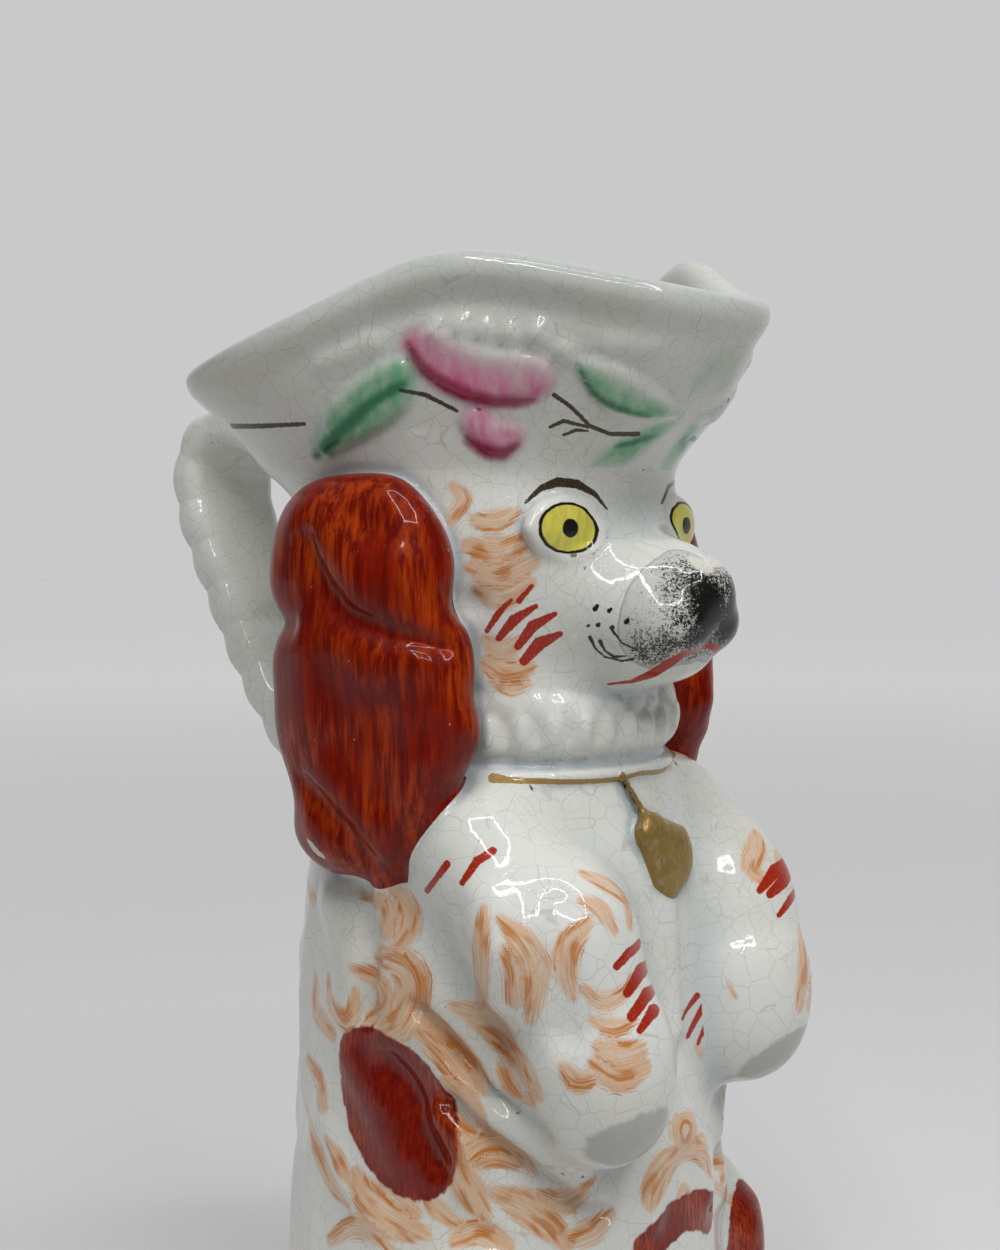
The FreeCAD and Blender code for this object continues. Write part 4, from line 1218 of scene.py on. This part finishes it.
class Sheet(Nodes):
    """A material's nodes. Its place is the surface's in millimetres."""

    def __init__(self, name):
        self.material = bpy.data.materials.new(name)
        self.material.use_nodes = True
        super().__init__(self.material.node_tree)
        self.shader = self.tree.nodes["Principled BSDF"]
        place = self.tree.nodes.new("ShaderNodeTexCoord").outputs["Object"]
        self.place = self.vector("SCALE", place, scale=1 / MM)

    def stretched(self, x, y, z):
        return self.vector("MULTIPLY", self.place, (x, y, z))

    def bump(self, height):
        """Waves in the glaze, their height in millimetres."""
        node = self.tree.nodes.new("ShaderNodeBump")
        node.inputs["Distance"].default_value = MM
        self.plug(node.inputs["Height"], height)
        self.plug(self.shader.inputs["Normal"], node.outputs["Normal"])
        self.plug(self.shader.inputs["Coat Normal"], node.outputs["Normal"])


def capsule_group():
    """A node group: distance of a place from a round cone from A along AB."""
    group = bpy.data.node_groups.new("brush_stroke", "ShaderNodeTree")
    for name in ("P", "A", "AB", "Along", "RA", "Growth"):
        kind = "Float" if name in ("RA", "Growth") else "Vector"
        group.interface.new_socket(name, in_out="INPUT", socket_type=f"NodeSocket{kind}")
    group.interface.new_socket("Distance", in_out="OUTPUT", socket_type="NodeSocketFloat")
    place, a, ab, along, radius, growth = list(group.nodes.new("NodeGroupInput").outputs)[:6]
    nodes = Nodes(group)
    reach = nodes.vector("SUBTRACT", place, a)
    share = nodes.math("ADD", nodes.vector("DOT_PRODUCT", reach, along), 0.0, clamp=True)
    off = nodes.vector("SUBTRACT", reach, nodes.vector("SCALE", ab, scale=share))
    radius = nodes.math("MULTIPLY_ADD", share, growth, radius)
    distance = nodes.math("SUBTRACT", nodes.vector("LENGTH", off), radius)
    group.links.new(distance, group.nodes.new("NodeGroupOutput").inputs[0])
    return group


# Ink strokes are measured with depth along the sight counting for less

INK_DEPTH = 0.35
INK_FRAME = np.array([ACROSS, INK_DEPTH * SIGHT, (0, 0, 1)])


def stroke_distance(sheet, chains, place, group):
    """The least distance of a place from the chains' strokes."""
    least = None
    join = sheet.tree.nodes.new("ShaderNodeCombineXYZ")
    for i, row in enumerate(INK_FRAME):
        sheet.plug(join.inputs[i], sheet.vector("DOT_PRODUCT", place, tuple(row)))
    place = join.outputs[0]
    for line in chains:
        for i in range(len(line.places) - 1):
            a = INK_FRAME @ line.places[i]
            ab = INK_FRAME @ line.places[i + 1] - a
            node = sheet.tree.nodes.new("ShaderNodeGroup")
            node.node_tree = group
            sheet.plug(node.inputs["P"], place)
            node.inputs["A"].default_value = a
            node.inputs["AB"].default_value = ab
            node.inputs["Along"].default_value = ab / (ab @ ab)
            node.inputs["RA"].default_value = line.radii[i]
            node.inputs["Growth"].default_value = line.radii[i + 1] - line.radii[i]
            value = node.outputs["Distance"]
            least = value if least is None else sheet.math("MINIMUM", least, value)
    return least


INK_COLOURS = {
    "brow": BROWN_INK,
    "red": RED_INK,
    "whisker": BLACK_INK,
    "mouth": RED_INK,
    "gilt": GOLD,
    "stem": BROWN_INK,
}


def add_inks(sheet, colour, inks, group):
    """Paint fine strokes over a colour. Paired ones are drawn on both sides."""
    wobble = sheet.fit(sheet.noise(sheet.place, 1.6, 2.0), 0.36, -0.18)
    flipped = sheet.vector("MULTIPLY", sheet.vector("ABSOLUTE", sheet.place), (-1, 0, 0))
    both = sheet.vector("ADD", flipped, sheet.stretched(0, 1, 1))
    dry = sheet.smooth(sheet.noise(sheet.stretched(3, 3, 1.2), 1.0, 3.0), 0.28, 0.52)
    for word, chains in inks.items():
        parts = []
        for paired in (True, False):
            own = [line for line in chains if line.paired == paired]
            if own:
                parts.append(stroke_distance(sheet, own, both if paired else sheet.place, group))
        least = parts[0] if len(parts) == 1 else sheet.math("MINIMUM", *parts)
        cover = sheet.smooth(sheet.math("ADD", least, wobble), 0.09, -0.09)
        cover = sheet.times(cover, sheet.fit(dry, 0.08, 0.92))
        colour = sheet.blend(colour, INK_COLOURS[word], cover)
    return colour


CRAZE_WIDE, CRAZE_FINE, CRAZE_PATCHES = 0.21, 0.43, 0.045


def craze(sheet):
    """Crackle in the glaze: fine dark lines between cells of two sizes."""
    bent = sheet.vector("ADD", sheet.place, sheet.noise(sheet.place, 0.25, 1.0, output="Color"))
    wide = sheet.smooth(sheet.cells(bent, CRAZE_WIDE), 0.022, 0.004)
    fine = sheet.smooth(sheet.cells(bent, CRAZE_FINE), 0.030, 0.006)
    patch = sheet.smooth(sheet.noise(sheet.place, CRAZE_PATCHES, 1.0), 0.42, 0.6)
    fine = sheet.times(fine, sheet.fit(patch, 0.5, 0.12))
    return sheet.math("MAXIMUM", sheet.times(wide, 0.75), fine)


def white(sheet):
    """The glaze over white clay: cool and darker where it pools in hollows, partly real pooled glaze and
    partly painted shade, warmer where it is thin.
    """
    cloud = sheet.noise(sheet.place, 0.035, 3.0)
    pool_and_shade = sheet.attribute("pool_and_shade")
    colour = sheet.blend(GLAZE_LIGHT, GLAZE_WARM, sheet.times(sheet.smooth(cloud, 0.45, 0.75), 0.5))
    # Painted shade: hollows are cooled and darkened beyond what pooled glaze alone gives
    colour = sheet.blend(colour, GLAZE_POOLED_AND_SHADED, sheet.times(sheet.smooth(pool_and_shade, 0.02, 0.55), 0.8))
    speck = sheet.smooth(sheet.cells(sheet.place, 0.09, "F1"), 0.028, 0.016)
    return sheet.blend(colour, BROWN_INK, sheet.times(speck, 0.5))


def wash(sheet, colour, word, tint, soft, strength, wobble=1.2, scale=0.5):
    """Lay a soft-edged colour where the wash's stored depth says."""
    depth = sheet.fit(sheet.noise(sheet.place, scale, 3.0), 2 * wobble, -wobble)
    depth = sheet.math("ADD", depth, sheet.attribute(word))
    cover = sheet.times(sheet.smooth(depth, -soft, soft), strength)
    return sheet.blend(colour, tint, cover)


def curls(sheet, colour):
    """Orange hair brushed in commas of fine parallel lines, deepest at their outer edge and foot."""
    depth = sheet.attribute("curl")
    hair = sheet.attribute("hair", "Vector")
    fine = sheet.noise(sheet.vector("MULTIPLY", hair, (4.2, 0.07, 1.0)), 1.0, 2.0, 0.6)
    broad = sheet.noise(sheet.vector("MULTIPLY", hair, (0.45, 0.12, 1.0)), 1.0, 1.0)
    bristle = sheet.smooth(fine, 0.36, 0.60)
    edge = sheet.math("ADD", depth, sheet.fit(fine, 2.4, -1.2))
    inside = sheet.smooth(edge, -0.2, 1.0)
    thick = sheet.smooth(broad, 0.46, 0.64)
    tint = sheet.blend(ORANGE_LIGHT, ORANGE_DEEP, sheet.fit(thick, 0.7, 0.25))
    cover = sheet.fit(bristle, 0.42, 0.36)
    cover = sheet.math("ADD", cover, sheet.times(thick, 0.28), clamp=True)
    return sheet.blend(colour, tint, sheet.times(inside, cover))


def russet_tone(sheet, along):
    """Iron red brushed over the glaze, thin and orange between the bristles."""
    broad = sheet.smooth(sheet.noise(sheet.stretched(1, 1, 0.55), 0.075, 2.0), 0.44, 0.62)
    streak = sheet.smooth(sheet.noise(along, 1.0, 3.0, 0.7), 0.36, 0.70)
    tone = sheet.blend(RUSSET_DARK, RUSSET, sheet.fit(streak, 0.75, 0.15, clamp=True))
    thin = sheet.times(streak, sheet.fit(broad, 0.52, 0.03))
    return sheet.blend(tone, RUSSET_THIN, thin)


def muzzle_paint(sheet, colour):
    """A faint grey muzzle with a fine outline, and a black nose fading into stipple."""
    colour = wash(sheet, colour, "muzzle", GREY_WASH, 0.35, 0.36, 0.3)
    bound = sheet.smooth(sheet.math("ABSOLUTE", sheet.attribute("muzzle")), 0.30, 0.10)
    colour = sheet.blend(colour, BROWN_INK, sheet.times(bound, 0.35))
    grain = sheet.noise(sheet.place, 1.9, 5.0, 0.85)
    need = sheet.fit(sheet.attribute("black"), -0.015, 0.470)
    clump = sheet.fit(sheet.noise(sheet.place, 0.30, 2.0), -0.22, 0.11)
    need = sheet.math("ADD", need, clump)
    inside = sheet.smooth(sheet.attribute("muzzle"), -0.8, 1.6)
    cover = sheet.math("SUBTRACT", grain, need)
    cover = sheet.times(sheet.smooth(cover, -0.012, 0.028), inside)
    ragged = sheet.fit(grain, 22.0, -11.0)
    core = sheet.smooth(sheet.math("ADD", sheet.attribute("black"), ragged), -0.8, 0.8)
    colour = sheet.blend(colour, BLACK_INK, sheet.math("MAXIMUM", cover, core))
    return wash(sheet, colour, "bald", BARE_GLAZE, 0.5, 0.85, 0.9, 0.9)


def sprig_paint(sheet, colour, word, tint, deep_word, deep_tint):
    """Enamel that is deep along one line and fades away from it."""
    fade = sheet.smooth(sheet.attribute(deep_word), -7.5, -0.5)
    cloud = sheet.smooth(sheet.noise(sheet.stretched(1, 1, 0.25), 0.42, 2.0), 0.30, 0.66)
    strength = sheet.fit(fade, 0.65, 0.30)
    strength = sheet.times(strength, sheet.fit(cloud, 0.35, 0.65))
    colour = wash(sheet, colour, word, tint, 2.0, strength, 0.9, 0.2)
    return wash(sheet, colour, deep_word, deep_tint, 0.9, 0.9, 0.6)


def glazed(name, inks, group, washes=("russet", "grey"), with_curls=True):
    """White glaze with its paint and crackle."""
    sheet = Sheet(name)
    lines_dark = craze(sheet)
    colour = white(sheet)
    if "green" in washes:
        # Painted shade: the hat is greyed and darkened from level 220 up
        height = sheet.vector("DOT_PRODUCT", sheet.place, (0, 0, 1))
        colour = sheet.blend(colour, HAT_PAINTED_SHADE, sheet.times(sheet.smooth(height, 220.0, 240.0), 0.45))
    colour = sheet.blend(colour, CRAZE_TINT, sheet.times(lines_dark, 0.40))
    if with_curls:
        colour = curls(sheet, colour)
    lines_down = sheet.stretched(1.4, 1.4, 0.22)
    if "russet" in washes:
        colour = wash(sheet, colour, "russet", russet_tone(sheet, lines_down), 0.35, 1.0, 0.8)
    if "grey" in washes:
        colour = wash(sheet, colour, "grey", GREY_WASH, 0.8, 0.75)
    if "muzzle" in washes:
        colour = muzzle_paint(sheet, colour)
    if "green" in washes:
        colour = sprig_paint(sheet, colour, "pink", PINK, "crimson", CRIMSON)
        colour = sprig_paint(sheet, colour, "green", GREEN, "dark_green", DARK_GREEN)
    if inks:
        colour = add_inks(sheet, colour, inks, group)
    uneven = sheet.noise(sheet.place, 0.12, 2.0)
    height = sheet.fit(uneven, 0.16, sheet.times(lines_dark, -0.01))
    return finish(sheet, colour, height)


GLOSS = {"Roughness": 0.30, "Specular IOR Level": 0.05, "Coat Roughness": 0.045, "Coat IOR": 1.5}


def finish(sheet, colour, height, coat=0.7):
    """Plug in a look's colour and its waves, and set the fired gloss."""
    sheet.plug(sheet.shader.inputs["Base Color"], colour)
    for word, value in GLOSS.items():
        sheet.shader.inputs[word].default_value = value
    sheet.shader.inputs["Coat Weight"].default_value = coat
    sheet.bump(height)
    return sheet.material


def ear_look():
    """Iron-red enamel brushed down the ear, with worn spots and a chip at its foot."""
    sheet = Sheet("russet_enamel_look")
    along = sheet.stretched(0.62, 0.62, 0.045)
    tone = russet_tone(sheet, along)
    worn = sheet.smooth(sheet.noise(sheet.place, 0.55, 3.0, 0.6), 0.735, 0.75)
    tone = sheet.blend(tone, RUBBED, sheet.times(worn, 0.8))
    tone = wash(sheet, tone, "chip", BARE_CLAY, 0.15, 0.95, 0.5, 1.2)
    strands = sheet.noise(along, 1.0, 3.0, 0.6)
    uneven = sheet.noise(sheet.place, 0.14, 2.0)
    return finish(sheet, tone, sheet.fit(strands, 0.012, sheet.times(uneven, 0.2)), coat=0.34)


IRIS, PUPIL = (6.5, 4.7), (1.9, 1.8)


def eye_look(side):
    """Yellow iris, black pupil and rim, measured in the eye's own plane."""
    sheet = Sheet(f"{side}_yellow_enamel_look")
    centre, turn = EYES[side]
    local = sheet.vector("SUBTRACT", sheet.place, tuple(centre))
    c, s = math.cos(turn), math.sin(turn)
    wide = sheet.math("ABSOLUTE", sheet.vector("DOT_PRODUCT", local, (c, -s, 0)))
    tall = sheet.vector("DOT_PRODUCT", local, (0, 0, 1))
    wobble = sheet.fit(sheet.noise(sheet.place, 0.5, 2.0), 0.5, -0.25)

    def oval(across, up, half_across, half_up):
        a = sheet.math("DIVIDE", across, half_across)
        b = sheet.math("DIVIDE", up, half_up)
        rho = sheet.math("SQRT", sheet.math("ADD", sheet.times(a, a), sheet.times(b, b)))
        return sheet.fit(sheet.math("SUBTRACT", rho, 1.0), half_up, wobble)

    iris, pupil = oval(wide, tall, *IRIS), oval(wide, tall, *PUPIL)
    shade = sheet.noise(sheet.stretched(1, 1, 0.3), 0.9, 3.0)
    tone = sheet.blend(YELLOW, YELLOW_DEEP, sheet.times(sheet.smooth(shade, 0.4, 0.7), 0.55))
    rim = sheet.smooth(sheet.math("ABSOLUTE", iris), 0.34, 0.18)
    outside = sheet.smooth(iris, 0.05, 0.3)
    colour = sheet.blend(tone, white(sheet), outside)
    colour = sheet.blend(colour, BLACK_INK, sheet.math("MAXIMUM", rim, sheet.smooth(pupil, 0.1, -0.1)))
    return finish(sheet, colour, sheet.times(sheet.noise(sheet.place, 0.2, 2.0), 0.1))


def gilt_look():
    """Dull gilding, rubbed through to the glaze in places."""
    sheet = Sheet("gilding_look")
    rubbed = sheet.smooth(sheet.noise(sheet.stretched(1, 1, 0.5), 0.8, 4.0, 0.7), 0.50, 0.66)
    tone = sheet.blend(GOLD, GOLD_WORN, sheet.noise(sheet.place, 0.3, 2.0))
    tone = sheet.blend(tone, GLAZE_WARM, sheet.times(rubbed, 0.2))
    sheet.shader.inputs["Metallic"].default_value = 0.4
    return finish(sheet, tone, sheet.times(sheet.noise(sheet.place, 0.9, 3.0), 0.08), coat=0.3)


# Pieces, floor, light and camera

CORE_BOXES = {
    "base_slab": ((-66, -74, -1), (66, 54, 8)),
    "right_body_shell": ((-64, -66, 6), (1, 52, 223)),
    "left_body_shell": ((-1, -66, 6), (64, 52, 223)),
    "hat": ((-68, -74, 221), (68, 74, 276)),
}


def looks():
    """Each node's material and the record's slot that it stands for."""
    group = capsule_group()
    body = glazed("white_glaze_look", BODY_INKS, group, ("russet",))
    face = glazed("face_look", FACE_INKS, group, ("muzzle",))
    hat = glazed("hat_look", HAT_INKS, group, ("green",), False)
    leg = glazed("foreleg_look", LEG_INKS, group)
    plain = glazed("relief_glaze_look", {}, group)
    ear, gilt = ear_look(), gilt_look()
    table = {name: (body, "white_glaze") for name in CORE_BOXES}
    table.update({name: (plain, "white_glaze") for name in MEMBERS})
    table["hat"] = (hat, "white_glaze")
    for side in ("right", "left"):
        table[f"{side}_ear"] = (ear, "russet_enamel")
        table[f"{side}_eye"] = (eye_look(side), "yellow_enamel")
        table[f"{side}_foreleg"] = (leg, "white_glaze")
        for word in SPRIGS:
            slot = "green_enamel" if word.endswith("leaf") else "pink_enamel"
            table[f"{side}_hat_{word}"] = (hat, slot)
    table["muzzle"] = table["lower_jaw"] = (face, "white_glaze")
    table["nose_pad"] = (face, "black_enamel")
    table["collar_strap"] = (glazed("collar_look", {"gilt": COLLAR_STROKES}, group), "gilding")
    table["locket_link"] = table["locket"] = (gilt, "gilding")
    return table


def piece_boxes():
    """The box that holds each piece."""
    boxes = dict(CORE_BOXES)
    for name, (field, low, high, reach, side) in MEMBERS.items():
        boxes[name] = (low - 4, high + 4)
    for word, line in SPRIGS.items():
        (x, *low), (far_x, *high) = line.low - 3, line.high + 3
        boxes[f"right_hat_{word}"] = ((x, *low), (far_x, *high))
        boxes[f"left_hat_{word}"] = ((-far_x, *low), (-x, *high))
    return boxes


FLOOR_RADIUS, FLOOR_SIDES = 9.0, 96
# The floor's front tone is painted shade: darker between the camera and the jug
FLOOR_MIDDLE, FLOOR_FAR, FLOOR_FRONT_SHADE = (0.68, 0.68, 0.68, 1), (0.975, 0.975, 0.98, 1), (0.24, 0.24, 0.24, 1)
FLOOR_FADE, FRONT_SHADE_FADE = (300.0, 2400.0), (0.0, 700.0)


def stage():
    """A pale round floor that meets the room's tone at the horizon, with painted shade darkening it in
    front.
    """
    rows = [(0, 0, 0)]
    for i in range(FLOOR_SIDES):
        turn = 2 * math.pi * i / FLOOR_SIDES
        rows.append((FLOOR_RADIUS * math.cos(turn), FLOOR_RADIUS * math.sin(turn), 0))
    faces = [(0, i + 1, (i + 1) % FLOOR_SIDES + 1) for i in range(FLOOR_SIDES)]
    mesh = bpy.data.meshes.new("floor")
    mesh.from_pydata(rows, [], faces)
    floor = placed("floor", mesh)
    sheet = Sheet("floor_look")
    away = sheet.smooth(sheet.vector("LENGTH", sheet.place), *FLOOR_FADE)
    # Painted shade on the floor in front of the jug
    before = sheet.smooth(sheet.vector("DOT_PRODUCT", sheet.place, tuple(-SIGHT)), *FRONT_SHADE_FADE)
    tone = sheet.blend(sheet.blend(FLOOR_MIDDLE, FLOOR_FAR, away), FLOOR_FRONT_SHADE, before)
    sheet.plug(sheet.shader.inputs["Base Color"], tone)
    sheet.shader.inputs["Roughness"].default_value = 0.9
    sheet.shader.inputs["Specular IOR Level"].default_value = 0.1
    mesh.materials.append(sheet.material)


FRAME_WIDTH, FRAME_HEIGHT, FRAME_BAR = 0.72, 0.56, 0.045
FRAME_PLACE, FRAME_AIM, FRAME_POWER = Vector((-0.40, -0.54, 1.08)), Vector((0, 0, 0.19)), 2.15


def frame_light():
    """A hanging frame of four thin bars, whose loop shows in the gloss."""
    turn = (FRAME_AIM - FRAME_PLACE).to_track_quat("-Z", "Y")
    side, tall = turn @ Vector((FRAME_WIDTH / 2, 0, 0)), turn @ Vector((0, FRAME_HEIGHT / 2, 0))
    for word, away, width, height in (
        ("upper", tall, FRAME_WIDTH, FRAME_BAR),
        ("lower", -tall, FRAME_WIDTH, FRAME_BAR),
        ("left", -side, FRAME_BAR, FRAME_HEIGHT),
        ("right", side, FRAME_BAR, FRAME_HEIGHT),
    ):
        data = bpy.data.lights.new(f"top_frame_{word}", "AREA")
        data.shape, data.size, data.size_y, data.energy = "RECTANGLE", width, height, FRAME_POWER
        light = placed(data.name, data)
        light.location = FRAME_PLACE + away
        light.rotation_euler = turn.to_euler()


ROOM_BEHIND, ROOM_FRONT, ROOM_ABOVE = 0.59, 0.07, 0.12
ROOM_TINT = (0.99, 0.99, 1.0, 1)
SKYLIGHT, SKY_SPREAD, SKY_PLACE = 1.2, math.radians(55), Vector((-0.30, -0.42, 1.2))


def skylight():
    """Soft light from above and before, left out of the reflections."""
    data = bpy.data.lights.new("skylight", "SUN")
    data.energy, data.angle = SKYLIGHT, SKY_SPREAD
    sky = placed("skylight", data)
    sky.rotation_euler = (-SKY_PLACE).to_track_quat("-Z", "Y").to_euler()
    sky.visible_glossy = False


def room():
    """A pale backdrop on the far side, a dimmer near side and a bright ceiling."""
    world = bpy.data.worlds.new("room")
    world.use_nodes = True
    nodes = Nodes(world.node_tree)
    heading = nodes.tree.nodes.new("ShaderNodeTexCoord").outputs["Generated"]
    ahead = nodes.vector("DOT_PRODUCT", heading, tuple(SIGHT))
    up = nodes.vector("DOT_PRODUCT", heading, (0, 0, 1))
    walls = nodes.smooth(ahead, 0.1, 0.85, ROOM_FRONT, ROOM_BEHIND)
    ceiling = nodes.smooth(up, 0.30, 0.95, 0.0, ROOM_ABOVE)
    back = nodes.tree.nodes["Background"]
    back.inputs["Color"].default_value = ROOM_TINT
    nodes.plug(back.inputs["Strength"], nodes.math("ADD", walls, ceiling))
    bpy.context.scene.world = world


def camera():
    """The photograph's camera, level but for its pitch and shifted to the jug's axis."""
    data = bpy.data.cameras.new("camera")
    data.sensor_fit = "VERTICAL"
    data.sensor_height = SENSOR
    data.lens = SENSOR * FOCAL_PIXELS / PHOTO_HEIGHT
    data.shift_x = -(AXIS_PIXEL - PHOTO_WIDTH / 2) / PHOTO_HEIGHT
    cam = placed("camera", data)
    cam.location = Vector(CAMERA * MM)
    ahead = Vector(SIGHT) * math.cos(CAMERA_PITCH) + Vector((0, 0, -math.sin(CAMERA_PITCH)))
    cam.rotation_euler = ahead.to_track_quat("-Z", "Y").to_euler()
    bpy.context.scene.camera = cam


def build():
    """Every piece, once the paint's lines lie on the finished form."""
    trace_lines(fields)
    table = looks()
    for name, (low, high) in piece_boxes().items():
        material, slot = table[name]
        add_piece(name, low, high, material)


build()
stage()
frame_light()
skylight()
room()
camera()
bpy.context.scene.view_settings.view_transform = "Standard"
